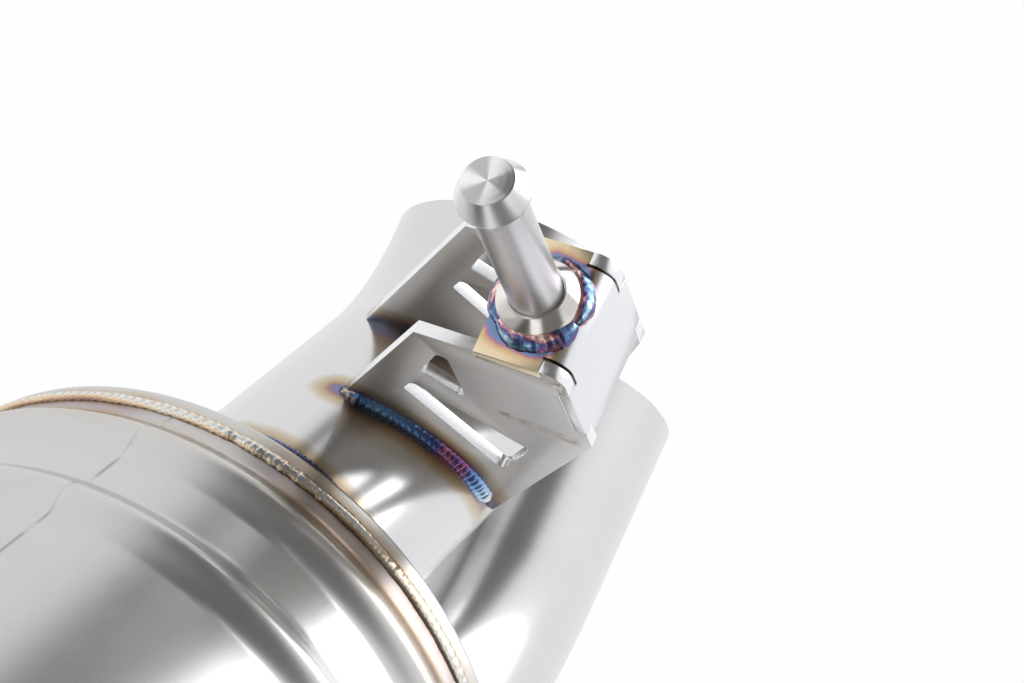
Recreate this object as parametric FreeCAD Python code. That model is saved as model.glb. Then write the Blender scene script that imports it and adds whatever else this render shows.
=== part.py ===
import FreeCAD, Part
import math
import os

from FreeCAD import Vector

# Cat-back exhaust system in millimetres. The origin is the centre of the inlet flange face,
# +Y runs to the back of the car, +Z is up and +X is the side the muffler is turned toward.

# Pipe stock
pipe_od = 63.5
pipe_wall = 1.6
bend_radius = 95.25
rod_diameter = 12.0

# Inlet flange
flange_thickness = 10.0
flange_bolt_spacing = 105.0
flange_bolt_hole = 11.0
flange_lobe_radius = 15.0
flange_rim = 14.0
flange_counterbore = 3.0

# Front pipe: a straight, an upward jog and a straight into the first slip joint
front_straight = 80.0
jog_angle = 15.0
jog_length = 120.0
front_run = 110.0

# Slip joints: a swaged socket pushed over the plain pipe end, drawn tight by a band clamp
slip_clearance = 0.08
socket_length = 55.0
socket_overlap = 50.0
socket_cone = 14.0
socket_slot_width = 3.0
socket_slot_length = 32.0
socket_slot_count = 4

# Band clamp
band_width = 32.0
band_thickness = 1.5
band_gap = 8.0
ear_height = 21.0
ear_thickness = 3.0
clamp_block_depth = 8.0
clamp_block_height = 14.0
clamp_bolt_diameter = 8.0
clamp_bolt_hole = 8.6
clamp_hex = 13.0
clamp_head_height = 5.5
clamp_nut_height = 6.8
clamp_bolt_tail = 6.0
clamp_edge = 6.0
clamp_clocking = 40.0
clamp_setback = 4.0

# Resonator
resonator_od = 101.6
resonator_wall = 1.5
resonator_length = 380.0
resonator_cone = 28.0
resonator_neck = 16.0
resonator_lead = 45.0
seam_inset = 4.0
packing_end_gap = 10.0
core_hole = 7.0
core_hole_pitch = 60.0
core_holes_round = 4

# Mid pipe, from the resonator to the second slip joint
mid_run = 280.0

# Muffler
muffler_od = 172.0
muffler_wall = 1.5
muffler_length = 360.0
muffler_yaw = 37.5
inlet_straight = 30.0
inlet_reach = 60.0
cap_flange = 7.0
cap_edge_radius = 2.0
bead_height = 3.3
bead_width = 13.0
bead_stations = (22.0, 50.0)
outlet_offset_side = 49.0
outlet_offset_up = 16.0
pipe_insertion = 12.0
baffle_thickness = 1.5
baffle_inset = 120.0
core_overhang = 10.0

# Tail pipes
left_tail_straight = 77.5
left_tail_bend = 36.5
left_tail_dip = 7.7
right_tail_straight = 75.0
right_tail_bend = 37.5
right_tail_stub = 58.0

# Weld beads
fillet_leg = 3.0
seam_bead_width = 4.4
seam_bead_height = 1.3
seam_bead_seat = 0.05
foot_bead_radius = 2.8
collar_bead_leg = 4.6

# Hanger bracket on the left tail pipe. Its own directions are: reach, away from the tube
# along the pin (-X of the car); rise, up across the plates (+Z); depth, plate to plate (+Y).
bracket_station = 73.6
bracket_reach = 103.7
bracket_rise = 60.9
plate_thickness = 3.0
bracket_width = 30.0
top_edge_low = -23.7
top_edge_step = -9.6
front_edge = 11.7
foot_reach = 53.3
foot_rise = -56.9
flap_drop = 34.7
back_foot_reach = 102.6
back_foot_rise = -29.1
fold_outer_radius = 5.0
corner_tab = 5.6
flap_tab = 6.7
window_corner_radius = 1.6
large_window = ((36.6, -34.3), (33.5, -32.3), (50.6, -9.2), (66.2, -18.4))
small_window = ((21.9, -26.0), (10.9, -19.7), (27.2, -19.9))

# Hanger pin and its collar
pin_length = 52.9
pin_head_od = 16.0
pin_face_od = 10.9
pin_chamfer = 5.1
pin_undercut = 4.8
collar_od = 18.4
collar_height = 6.0
collar_chamfer = 2.4

# Front hanger rod
rod_station = 35.0
rod_lay = 46.0
rod_bend_radius = 22.0
rod_arm = 60.0
rod_bead_width = 5.0

X = Vector(1, 0, 0)
Y = Vector(0, 1, 0)
Z = Vector(0, 0, 1)
ORIGIN = Vector(0, 0, 0)

pipe_radius = pipe_od / 2
bore_radius = pipe_radius - pipe_wall


def cylinder(radius, start, axis, length):
    return Part.makeCylinder(radius, length, start, axis)


def ring(outer_radius, inner_radius, start, axis, length):
    """A plain tube between two radii."""
    return cylinder(outer_radius, start, axis, length).cut(cylinder(inner_radius, start, axis, length))


def box_between(low, high):
    size = high.sub(low)
    return Part.makeBox(size.x, size.y, size.z, low)


def turned(profile, start, axis):
    """A solid of revolution from (radius, station) points, set on an axis."""
    points = [Vector(radius, 0, station) for radius, station in profile]
    face = Part.Face(Part.makePolygon(points + [points[0]]))
    solid = face.revolve(ORIGIN, Z, 360)
    solid.Placement = FreeCAD.Placement(start, FreeCAD.Rotation(Z, axis))
    return solid


def turned_face(face, start, axis):
    """A solid of revolution from a ready face drawn in the XZ plane."""
    solid = face.revolve(ORIGIN, Z, 360)
    solid.Placement = FreeCAD.Placement(start, FreeCAD.Rotation(Z, axis))
    return solid


class Route:
    """The centre line of a bent pipe, grown from straights and arcs."""

    def __init__(self, start, direction):
        self.edges = []
        self.start = start
        self.start_direction = direction
        self.point = start
        self.direction = direction

    def straight(self, length):
        end = self.point + self.direction * length
        self.edges.append(Part.makeLine(self.point, end))
        self.point = end
        return self

    def bend(self, angle, axis, radius=bend_radius):
        """Turn about an axis through the bend centre, right-handed for a positive angle."""
        side = axis.cross(self.direction)
        if angle < 0:
            side = side * -1
        centre = self.point + side * radius
        middle = self._swung(centre, axis, angle / 2)
        end = self._swung(centre, axis, angle)
        self.edges.append(Part.Arc(self.point, middle, end).toShape())
        self.direction = FreeCAD.Rotation(axis, angle).multVec(self.direction)
        self.point = end
        return self

    def _swung(self, centre, axis, angle):
        return centre + FreeCAD.Rotation(axis, angle).multVec(self.point - centre)

    def rod(self, radius):
        """A round bar swept along the route."""
        profile = Part.Wire(Part.makeCircle(radius, self.start, self.start_direction))
        return Part.Wire(self.edges).makePipeShell([profile], True, True)

    def pipe(self, outer_radius, inner_radius):
        return self.rod(outer_radius).cut(self.rod(inner_radius))


def fillet_bead(radius, start, axis, leg=fillet_leg):
    """The ring of weld in the corner between a pipe and the face it comes out of."""
    crown = leg * 0.62
    profile = [(radius, 0), (radius + leg, 0), (radius + crown, crown), (radius, leg)]
    return turned(profile, start, axis)


def seam_bead(radius, start, axis):
    """A low crowned ring over a butt seam, centred on its start."""
    half = seam_bead_width / 2
    seat = radius + seam_bead_seat
    arc = Part.Arc(
        Vector(seat, 0, -half), Vector(seat + seam_bead_height, 0, 0), Vector(seat, 0, half)
    ).toShape()
    base = Part.makeLine(Vector(seat, 0, half), Vector(seat, 0, -half))
    return turned_face(Part.Face(Part.Wire([arc, base])), start, axis)


def perforated_core(start, axis, length):
    """A straight-through core with rows of round holes, each row turned by half a pitch."""
    core = ring(pipe_radius, bore_radius, start, axis, length)
    rows = int((length - core_hole_pitch) / core_hole_pitch)
    side = axis.cross(Z)
    step = 360 / core_holes_round
    drills = []
    for row in range(rows):
        centre = start + axis * (core_hole_pitch * (row + 1))
        for place in range(core_holes_round // 2):
            turn = FreeCAD.Rotation(axis, step * place + step / 2 * (row % 2))
            outward = turn.multVec(side)
            drills.append(cylinder(core_hole / 2, centre - outward * pipe_od, outward, 2 * pipe_od))
    return core.cut(Part.makeCompound(drills)) if drills else core


def slip_socket(mouth, axis):
    """The swaged end of a pipe: socket, cone down to pipe size, and four relief slots."""
    inner = pipe_radius + slip_clearance
    outer = inner + pipe_wall
    shoulder = socket_length
    neck = socket_length + socket_cone
    profile = [(inner, 0), (outer, 0), (outer, shoulder), (pipe_radius, neck), (bore_radius, neck), (inner, shoulder)]
    socket = turned(profile, mouth, axis)
    slots = []
    for place in range(socket_slot_count):
        turn = FreeCAD.Rotation(axis, 360 / socket_slot_count * (place + 0.5))
        slot = Part.makeBox(2 * pipe_od, socket_slot_length, socket_slot_width)
        slot.translate(Vector(0, 0, -socket_slot_width / 2))
        slot.Placement = FreeCAD.Placement(mouth, turn).multiply(slot.Placement)
        slots.append(slot)
    return socket.cut(Part.makeCompound(slots))


def cut_flange():
    """Two-bolt flange plate: a round boss and two bolt lobes joined by tangent sides."""
    boss_radius = pipe_radius + flange_rim
    half_spacing = flange_bolt_spacing / 2
    # The straight sides touch both the boss and the lobe circles.
    lean = math.asin((boss_radius - flange_lobe_radius) / half_spacing)
    corners = []
    for side_x, side_z in ((1, 1), (1, -1), (-1, -1), (-1, 1)):
        outward = Vector(side_x * math.sin(lean), 0, side_z * math.cos(lean))
        on_boss = outward * boss_radius
        on_lobe = Vector(side_x * half_spacing, 0, 0) + outward * flange_lobe_radius
        pair = [on_boss, on_lobe]
        corners += pair if side_x * side_z > 0 else pair[::-1]
    web = Part.Face(Part.makePolygon(corners + [corners[0]])).extrude(Y * flange_thickness)
    lobes = [
        cylinder(flange_lobe_radius, Vector(side * half_spacing, 0, 0), Y, flange_thickness) for side in (-1, 1)
    ]
    plate = cylinder(boss_radius, ORIGIN, Y, flange_thickness).fuse([web] + lobes).removeSplitter()
    plate = plate.cut(cylinder(bore_radius, ORIGIN, Y, flange_thickness))
    seat = cylinder(pipe_radius, Y * flange_counterbore, Y, flange_thickness)
    holes = [
        cylinder(flange_bolt_hole / 2, Vector(side * half_spacing, 0, 0), Y, flange_thickness) for side in (-1, 1)
    ]
    return plate.cut(Part.makeCompound([seat] + holes))


def front_route():
    route = Route(Y * flange_counterbore, Y)
    route.straight(front_straight)
    route.bend(jog_angle, X)
    route.straight(jog_length)
    route.bend(-jog_angle, X)
    route.straight(front_run)
    return route


def front_hanger_rod():
    """Round bar laid along the pipe's side and turned outward for the rubber isolator."""
    side = pipe_radius + rod_diameter / 2
    route = Route(Vector(-side, rod_station, 0), Y)
    route.straight(rod_lay)
    route.bend(90, Z, rod_bend_radius)
    route.straight(rod_arm)
    bar = route.rod(rod_diameter / 2)
    knob = turned(
        [
            (0, 0),
            (rod_diameter / 2, 0),
            (rod_diameter / 2 + 2, 3),
            (rod_diameter / 2 + 2, 6),
            (rod_diameter / 2 - 2, 10),
            (0, 10),
        ],
        route.point,
        route.direction,
    )
    return bar.fuse(knob).removeSplitter()


def front_hanger_weld():
    """Bead along the top of the rod where it lies against the pipe."""
    side = pipe_radius + rod_diameter / 2
    length = rod_lay - 8
    start = Vector(-side, rod_station + 4, 0)
    bar = box_between(
        start + Vector(0, 0, 0), start + Vector(rod_diameter / 2 + 2, length, rod_bead_width)
    )
    rod = cylinder(rod_diameter / 2, start, Y, length)
    pipe = cylinder(pipe_radius, Vector(0, start.y, 0), Y, length)
    bead = bar.cut(rod).cut(pipe)
    return max(bead.Solids, key=lambda solid: solid.CenterOfMass.z)


def band_clamp(centre, axis_turn):
    """Band, two bearing blocks, bolt and nut, drawn with the ears up and then turned about Y."""
    inner = pipe_radius + pipe_wall + 2 * slip_clearance
    outer = inner + band_thickness
    half_gap = band_gap / 2
    ear_top = outer + ear_height
    bolt_level = outer + ear_height / 2 + 2
    start = Vector(0, -band_width / 2, 0)
    ear_outside = half_gap + ear_thickness
    block_outside = ear_outside + clamp_block_depth

    band = ring(outer, inner, start, Y, band_width)
    band = band.cut(
        box_between(Vector(-half_gap, -band_width, 0), Vector(half_gap, band_width, 2 * outer))
    )
    for side in (-1, 1):
        near = min(side * half_gap, side * ear_outside)
        ear = box_between(
            Vector(near, -band_width / 2, inner - band_thickness),
            Vector(near + ear_thickness, band_width / 2, ear_top),
        )
        band = band.fuse(ear.cut(cylinder(inner, start, Y, band_width)))
    bolt_start = Vector(-2 * outer, 0, bolt_level)
    bolt_hole = cylinder(clamp_bolt_hole / 2, bolt_start, X, 4 * outer)
    band = band.removeSplitter().cut(bolt_hole)

    def block(side):
        near = min(side * ear_outside, side * block_outside)
        body = box_between(
            Vector(near, -band_width / 2 + 2, bolt_level - clamp_block_height / 2),
            Vector(near + clamp_block_depth, band_width / 2 - 2, bolt_level + clamp_block_height / 2),
        )
        outer_x = side * block_outside
        edges = [
            edge
            for edge in body.Edges
            if all(abs(vertex.X - outer_x) < 0.01 for vertex in edge.Vertexes)
            and abs(edge.Vertexes[0].Y - edge.Vertexes[1].Y) > 1
        ]
        return body.makeFillet(clamp_edge * 0.8, edges).cut(bolt_hole)

    def hexagon(at, height):
        across_corners = clamp_hex / math.cos(math.radians(30)) / 2
        corners = []
        for corner in range(6):
            angle = math.radians(60 * corner)
            corners.append(
                Vector(at, across_corners * math.cos(angle), bolt_level + across_corners * math.sin(angle))
            )
        return Part.Face(Part.makePolygon(corners + [corners[0]])).extrude(X * height)

    shank_start = Vector(-block_outside, 0, bolt_level)
    shank_length = 2 * block_outside + clamp_nut_height + clamp_bolt_tail
    bolt = hexagon(-block_outside - clamp_head_height, clamp_head_height)
    bolt = bolt.fuse(cylinder(clamp_bolt_diameter / 2, shank_start, X, shank_length))
    nut = hexagon(block_outside, clamp_nut_height)
    nut = nut.cut(cylinder(clamp_bolt_diameter / 2, shank_start, X, shank_length))

    pieces = {"band": band, "bolt_block": block(-1), "nut_block": block(1), "bolt": bolt, "nut": nut}
    turn = FreeCAD.Placement(centre, FreeCAD.Rotation(Y, axis_turn))
    for piece in pieces.values():
        piece.Placement = turn.multiply(piece.Placement)
    return pieces


def resonator_cap(neck_end, inward):
    """Spun cone from the pipe-size neck out to the shell, with a lip that seats in the shell."""
    neck_outer = pipe_radius + resonator_wall
    shell_inner = resonator_od / 2 - resonator_wall
    cone_end = resonator_neck + resonator_cone
    lip = cone_end + 10
    profile = [
        (pipe_radius, 0),
        (neck_outer, 0),
        (neck_outer, resonator_neck),
        (shell_inner, cone_end),
        (shell_inner, lip),
        (shell_inner - resonator_wall, lip),
        (shell_inner - resonator_wall, cone_end),
        (pipe_radius, resonator_neck),
    ]
    return turned(profile, neck_end, inward)


def muffler_shell(start, axis):
    """Rolled shell with two raised beads swaged near each end."""
    outer = muffler_od / 2
    inner = outer - muffler_wall
    first = cap_flange
    last = muffler_length - cap_flange
    stations = sorted(list(bead_stations) + [muffler_length - station for station in bead_stations])

    def skin(radius):
        """The outline of the shell wall at one radius, from the front to the rear edge."""
        edges = []
        here = Vector(radius, 0, first)
        for station in stations:
            there = Vector(radius, 0, station - bead_width / 2)
            edges.append(Part.makeLine(here, there))
            crest = Vector(radius + bead_height, 0, station)
            here = Vector(radius, 0, station + bead_width / 2)
            edges.append(Part.Arc(there, crest, here).toShape())
        edges.append(Part.makeLine(here, Vector(radius, 0, last)))
        return edges

    outside = skin(outer)
    inside = skin(inner)
    ends = [
        Part.makeLine(Vector(outer, 0, first), Vector(inner, 0, first)),
        Part.makeLine(Vector(outer, 0, last), Vector(inner, 0, last)),
    ]
    wire = Part.Wire(Part.__sortEdges__(outside + inside + ends))
    return turned_face(Part.Face(wire), start, axis)


def muffler_cap(face_centre, inward, bores):
    """Pressed cap: flat face, rolled edge and a short flange that butts against the shell."""
    outer = muffler_od / 2
    edge = cap_edge_radius
    inner_edge = muffler_wall + 0.5
    cup = cylinder(outer, face_centre, inward, cap_flange)
    rim = [e for e in cup.Edges if len(e.Vertexes) < 3 and abs(e.CenterOfMass.distanceToPoint(face_centre)) < 0.01]
    cup = cup.makeFillet(edge, [e for e in rim if e.Curve.TypeId == "Part::GeomCircle"])
    hollow = cylinder(outer - muffler_wall, face_centre + inward * inner_edge, inward, cap_flange)
    cup = cup.cut(hollow)
    for bore in bores:
        cup = cup.cut(cylinder(pipe_radius, bore - inward * cap_flange, inward, 3 * cap_flange))
    return cup


def baffle(centre, axis, bores):
    """Disc across the shell with a flange and the holes its tubes pass through."""
    outer = muffler_od / 2 - muffler_wall
    disc = cylinder(outer, centre, axis, 2 * cap_flange)
    disc = disc.cut(cylinder(outer - baffle_thickness, centre + axis * baffle_thickness, axis, 2 * cap_flange))
    for bore in bores:
        disc = disc.cut(cylinder(pipe_radius, bore - axis * pipe_od, axis, 2 * pipe_od))
    return disc


def window_prism(corners):
    """A window with rounded corners through both bracket plates, given by (reach, rise) values."""
    points = [Vector(reach, -bracket_width, rise) for reach, rise in corners]
    outline = Part.makePolygon(points + [points[0]]).makeOffset2D(window_corner_radius)
    return Part.Face(outline).extrude(Y * 2 * bracket_width)


def side_plate(inner_face, outward, tube, tube_axis_here, foot_shift):
    """One laser-cut side plate, its foot cut to the tube and its edge notched for the fold."""
    step = plate_thickness
    slope = (foot_rise - top_edge_low) / foot_reach
    foot_x = foot_reach + 1.35 * foot_shift
    outline = [
        (0, top_edge_low),
        (0, top_edge_step),
        (step, top_edge_step),
        (step, front_edge - corner_tab),
        (0, front_edge - corner_tab),
        (0, front_edge - fold_outer_radius),
        (fold_outer_radius, front_edge),
        (fold_outer_radius + 3.9, front_edge),
        (fold_outer_radius + 3.9, front_edge - step),
        (flap_drop - flap_tab, front_edge - step),
        (flap_drop - flap_tab, front_edge),
        (flap_drop, front_edge),
        (back_foot_reach + foot_shift, back_foot_rise),
        (tube_axis_here, -bracket_rise),
        (foot_x + 18, top_edge_low + slope * (foot_x + 18)),
    ]
    points = [Vector(reach, inner_face, rise) for reach, rise in outline]
    corner = Part.Arc(
        points[5],
        Vector(
            fold_outer_radius * (1 - math.cos(math.radians(45))),
            inner_face,
            front_edge - fold_outer_radius * (1 - math.sin(math.radians(45))),
        ),
        points[6],
    ).toShape()
    edges = [Part.makeLine(points[i], points[i + 1]) for i in range(len(points) - 1) if i != 5]
    edges.append(corner)
    edges.append(Part.makeLine(points[-1], points[0]))
    face = Part.Face(Part.Wire(Part.__sortEdges__(edges)))
    plate = face.extrude(Y * (plate_thickness * outward))
    for corners in (large_window, small_window):
        plate = plate.cut(window_prism(corners))
    plate = plate.cut(tube)
    return max(plate.Solids, key=lambda solid: solid.Volume)


def cross_plate():
    """Folded plate over both side plates, with a top face for the pin and a downturned flap."""
    inside = fold_outer_radius - plate_thickness
    half = bracket_width / 2
    lip = flap_drop - 2.7
    corner = 1 - math.cos(math.radians(45))

    def at(reach, rise):
        return Vector(reach, -half, rise)

    outer_arc = Part.Arc(
        at(0, front_edge - fold_outer_radius),
        at(fold_outer_radius * corner, front_edge - fold_outer_radius * corner),
        at(fold_outer_radius, front_edge),
    ).toShape()
    inner_arc = Part.Arc(
        at(plate_thickness, front_edge - fold_outer_radius),
        at(plate_thickness + inside * corner, front_edge - plate_thickness - inside * corner),
        at(fold_outer_radius, front_edge - plate_thickness),
    ).toShape()
    edges = [
        Part.makeLine(at(0, top_edge_step), at(0, front_edge - fold_outer_radius)),
        outer_arc,
        Part.makeLine(at(fold_outer_radius, front_edge), at(lip, front_edge)),
        Part.makeLine(at(lip, front_edge), at(lip, front_edge - plate_thickness)),
        Part.makeLine(at(lip, front_edge - plate_thickness), at(fold_outer_radius, front_edge - plate_thickness)),
        inner_arc,
        Part.makeLine(at(plate_thickness, front_edge - fold_outer_radius), at(plate_thickness, top_edge_step)),
        Part.makeLine(at(plate_thickness, top_edge_step), at(0, top_edge_step)),
    ]
    plate = Part.Face(Part.Wire(Part.__sortEdges__(edges))).extrude(Y * bracket_width)
    return plate.cut(cylinder(rod_diameter / 2, Vector(-1, 0, 0), X, 3 * plate_thickness))


def saddle_bead(face_depth, tube, plate, axis_here, start_angle, end_angle):
    """Bead along the ellipse where a side plate's face meets the tube."""
    major = pipe_radius / math.cos(math.radians(muffler_yaw))
    centre = Vector(axis_here, face_depth, -bracket_rise)
    ellipse = Part.Ellipse(centre + X * major, centre + Z * pipe_radius, centre)
    path = ellipse.toShape(math.radians(start_angle), math.radians(end_angle))
    first = path.valueAt(path.FirstParameter)
    tangent = path.tangentAt(path.FirstParameter)
    profile = Part.Wire(Part.makeCircle(foot_bead_radius, first, tangent))
    bead = Part.Wire(path).makePipeShell([profile], True, True)
    bead = bead.cut(tube).cut(plate)
    return max(bead.Solids, key=lambda solid: solid.Volume)


def hanger_pin():
    """Turned pin with a bevelled head, its foot set through the cross plate."""
    shaft = rod_diameter / 2
    head = pin_head_od / 2
    rim = pin_length - pin_chamfer
    profile = [
        (0, -plate_thickness),
        (shaft, -plate_thickness),
        (shaft, rim - pin_undercut),
        (head, rim),
        (pin_face_od / 2, pin_length),
        (0, pin_length),
    ]
    return turned(profile, ORIGIN, X * -1)


def pin_collar():
    outer = collar_od / 2
    bore = rod_diameter / 2
    profile = [
        (bore, 0),
        (outer, 0),
        (outer, collar_height - collar_chamfer),
        (outer - collar_chamfer, collar_height),
        (bore, collar_height),
    ]
    return turned(profile, ORIGIN, X * -1)


def collar_weld():
    """Ring of weld round the collar, trimmed where the plate's edge and fold cut it short."""
    bead = fillet_bead(collar_od / 2, ORIGIN, X * -1, collar_bead_leg)
    room = box_between(
        Vector(-2 * collar_bead_leg, -bracket_width / 2, top_edge_step),
        Vector(0, bracket_width / 2, front_edge - fold_outer_radius + 4),
    )
    return bead.common(room)


def bracket_pieces(tube):
    """The bracket in its own frame, with the pin's foot at the origin, cut to the tail pipe."""
    yaw = math.radians(muffler_yaw)
    slope = math.tan(yaw)
    half = bracket_width / 2
    inner = half - plate_thickness
    into_bend = half / math.cos(yaw) - (left_tail_straight - bracket_station)
    near_axis = bracket_reach - slope * half
    far_axis = bracket_reach + slope * half - into_bend**2 / (2 * bend_radius)
    near = side_plate(-inner, -1, tube, near_axis, 0)
    far = side_plate(inner, 1, tube, far_axis, slope * (bracket_width - plate_thickness))
    fold = cross_plate().cut(near).cut(far)
    return {
        "bracket_near_plate": near,
        "bracket_far_plate": far,
        "bracket_cross_plate": fold,
        "bracket_near_weld": saddle_bead(-half, tube, near, near_axis, 82, 176),
        "bracket_far_weld": saddle_bead(half, tube, far, far_axis, 82, 176),
        "hanger_pin_collar": pin_collar(),
        "hanger_pin": hanger_pin(),
        "hanger_pin_weld": collar_weld(),
    }


def build():
    """Lay out the system from the flange to the tail pipes; returns node name to solid."""
    nodes = {}

    # Front section
    front = front_route()
    joint_one = front.point
    nodes["inlet_flange"] = cut_flange()
    nodes["inlet_flange_weld"] = fillet_bead(pipe_radius, Y * flange_thickness, Y)
    nodes["front_pipe"] = front.pipe(pipe_radius, bore_radius)
    nodes["front_hanger_rod"] = front_hanger_rod()
    nodes["front_hanger_weld"] = front_hanger_weld()

    # First slip joint and the resonator
    mouth = joint_one - Y * socket_overlap
    neck = mouth + Y * (socket_length + socket_cone)
    cap_start = neck + Y * resonator_lead
    core_start = cap_start + Y * (resonator_neck / 2)
    shell_start = cap_start + Y * (resonator_neck + resonator_cone)
    shell_end = shell_start + Y * resonator_length
    cap_end = shell_end + Y * (resonator_neck + resonator_cone)
    core_end = cap_end - Y * (resonator_neck / 2)
    lead = ring(pipe_radius, bore_radius, neck, Y, core_start.y - neck.y)
    nodes["resonator_inlet_pipe"] = slip_socket(mouth, Y).fuse(lead).removeSplitter()
    nodes["resonator_front_cap"] = resonator_cap(cap_start, Y)
    nodes["resonator_rear_cap"] = resonator_cap(cap_end, Y * -1)
    nodes["resonator_shell"] = ring(
        resonator_od / 2, resonator_od / 2 - resonator_wall, shell_start, Y, resonator_length
    )
    nodes["resonator_core"] = perforated_core(core_start, Y, core_end.y - core_start.y)
    packing_start = shell_start + Y * packing_end_gap
    nodes["resonator_packing"] = ring(
        resonator_od / 2 - resonator_wall, pipe_radius, packing_start, Y, resonator_length - 2 * packing_end_gap
    )
    nodes["resonator_front_weld"] = fillet_bead(pipe_radius, cap_start, Y * -1, resonator_wall)
    nodes["resonator_rear_weld"] = fillet_bead(pipe_radius, cap_end, Y, resonator_wall)
    nodes["resonator_front_seam_weld"] = seam_bead(resonator_od / 2, shell_start + Y * seam_inset, Y)
    nodes["resonator_rear_seam_weld"] = seam_bead(resonator_od / 2, shell_end - Y * seam_inset, Y)

    # Mid pipe and second slip joint
    joint_two = core_end + Y * mid_run
    nodes["mid_pipe"] = ring(pipe_radius, bore_radius, core_end, Y, mid_run)
    second_mouth = joint_two - Y * socket_overlap
    second_neck = second_mouth + Y * (socket_length + socket_cone)

    clamp_shift = Y * (band_width / 2 + clamp_setback)
    for place, joint_mouth in (("front", mouth), ("rear", second_mouth)):
        clamp = band_clamp(joint_mouth + clamp_shift, -clamp_clocking)
        for piece, solid in clamp.items():
            nodes[f"{place}_clamp_{piece}"] = solid

    # Muffler inlet pipe: straight, then turned toward +X into the front cap
    inlet = Route(second_neck, Y)
    inlet.straight(inlet_straight)
    inlet.bend(-muffler_yaw, Z)
    inlet.straight(inlet_reach)
    axis = inlet.direction
    front_face = inlet.point
    inlet.straight(pipe_insertion)
    inlet_core_start = inlet.point
    inlet_bend = inlet.pipe(pipe_radius, bore_radius)
    nodes["muffler_inlet_pipe"] = slip_socket(second_mouth, Y).fuse(inlet_bend).removeSplitter()

    # Muffler body
    side = Z.cross(axis)
    rear_face = front_face + axis * muffler_length
    left_outlet = rear_face + side * outlet_offset_side + Z * outlet_offset_up
    right_outlet = rear_face - side * outlet_offset_side + Z * outlet_offset_up
    front_baffle = front_face + axis * baffle_inset
    rear_baffle = rear_face - axis * baffle_inset
    nodes["muffler_shell"] = muffler_shell(front_face, axis)
    nodes["muffler_front_cap"] = muffler_cap(front_face, axis, [front_face])
    nodes["muffler_rear_cap"] = muffler_cap(rear_face, axis * -1, [left_outlet, right_outlet])
    nodes["muffler_front_seam_weld"] = seam_bead(muffler_od / 2, front_face + axis * cap_flange, axis)
    nodes["muffler_rear_seam_weld"] = seam_bead(muffler_od / 2, rear_face - axis * cap_flange, axis)
    nodes["muffler_front_baffle"] = baffle(front_baffle, axis, [front_baffle])
    outlet_bores = [left_outlet, right_outlet]
    bores_here = [bore - axis * baffle_inset for bore in outlet_bores]
    nodes["muffler_rear_baffle"] = baffle(rear_baffle, axis, bores_here)
    nodes["muffler_inlet_weld"] = fillet_bead(pipe_radius, front_face, axis * -1)

    inlet_core_length = baffle_inset + 2 * cap_flange + core_overhang - pipe_insertion
    nodes["muffler_inlet_core"] = perforated_core(inlet_core_start, axis, inlet_core_length)
    outlet_core_length = baffle_inset - pipe_insertion + core_overhang
    for name, outlet in (("left", left_outlet), ("right", right_outlet)):
        core_face = outlet - axis * pipe_insertion
        nodes[f"muffler_{name}_core"] = perforated_core(core_face, axis * -1, outlet_core_length)

    packing_front = rear_baffle + axis * 2 * cap_flange
    packing_length = baffle_inset - 2 * cap_flange - bead_stations[1] - bead_width
    packing = cylinder(muffler_od / 2 - muffler_wall, packing_front, axis, packing_length)
    for bore in bores_here:
        packing = packing.cut(cylinder(pipe_radius, bore, axis, muffler_length))
    nodes["muffler_packing"] = packing

    # Tail pipes
    left = Route(left_outlet - axis * pipe_insertion, axis)
    left.straight(pipe_insertion + left_tail_straight)
    left.bend(left_tail_bend, FreeCAD.Rotation(axis, -left_tail_dip).multVec(Z))
    nodes["left_tail_pipe"] = left.pipe(pipe_radius, bore_radius)
    right = Route(right_outlet - axis * pipe_insertion, axis)
    right.straight(pipe_insertion + right_tail_straight)
    right.bend(right_tail_bend, Z)
    right.straight(right_tail_stub)
    nodes["right_tail_pipe"] = right.pipe(pipe_radius, bore_radius)
    nodes["left_tail_weld"] = fillet_bead(pipe_radius, left_outlet, axis, muffler_wall)
    nodes["right_tail_weld"] = fillet_bead(pipe_radius, right_outlet, axis)

    # Hanger bracket, set on the left tail pipe
    on_axis = left_outlet + axis * bracket_station
    bracket_origin = on_axis - Vector(bracket_reach, 0, -bracket_rise)
    tube = left.rod(pipe_radius)
    tube.translate(bracket_origin * -1)
    for name, solid in bracket_pieces(tube).items():
        solid.Placement = FreeCAD.Placement(bracket_origin, FreeCAD.Rotation()).multiply(solid.Placement)
        nodes[name] = solid

    return nodes


def main():
    os.makedirs("parts", exist_ok=True)
    for name, shape in build().items():
        solids = shape.Solids
        solid = solids[0] if len(solids) == 1 else shape
        solid.exportStep(f"parts/{name}.step")
        print(f"{name}: {len(solids)} solid, {solid.Volume / 1000:.2f} cm3, valid {solid.isValid()}")


main()
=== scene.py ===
"""Dresses the cat-back exhaust system: formed steel, rippled weld beads, heat tint and a white studio."""

import math
import bmesh
import bpy
from mathutils import Matrix, Vector
from mathutils.kdtree import KDTree


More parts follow.
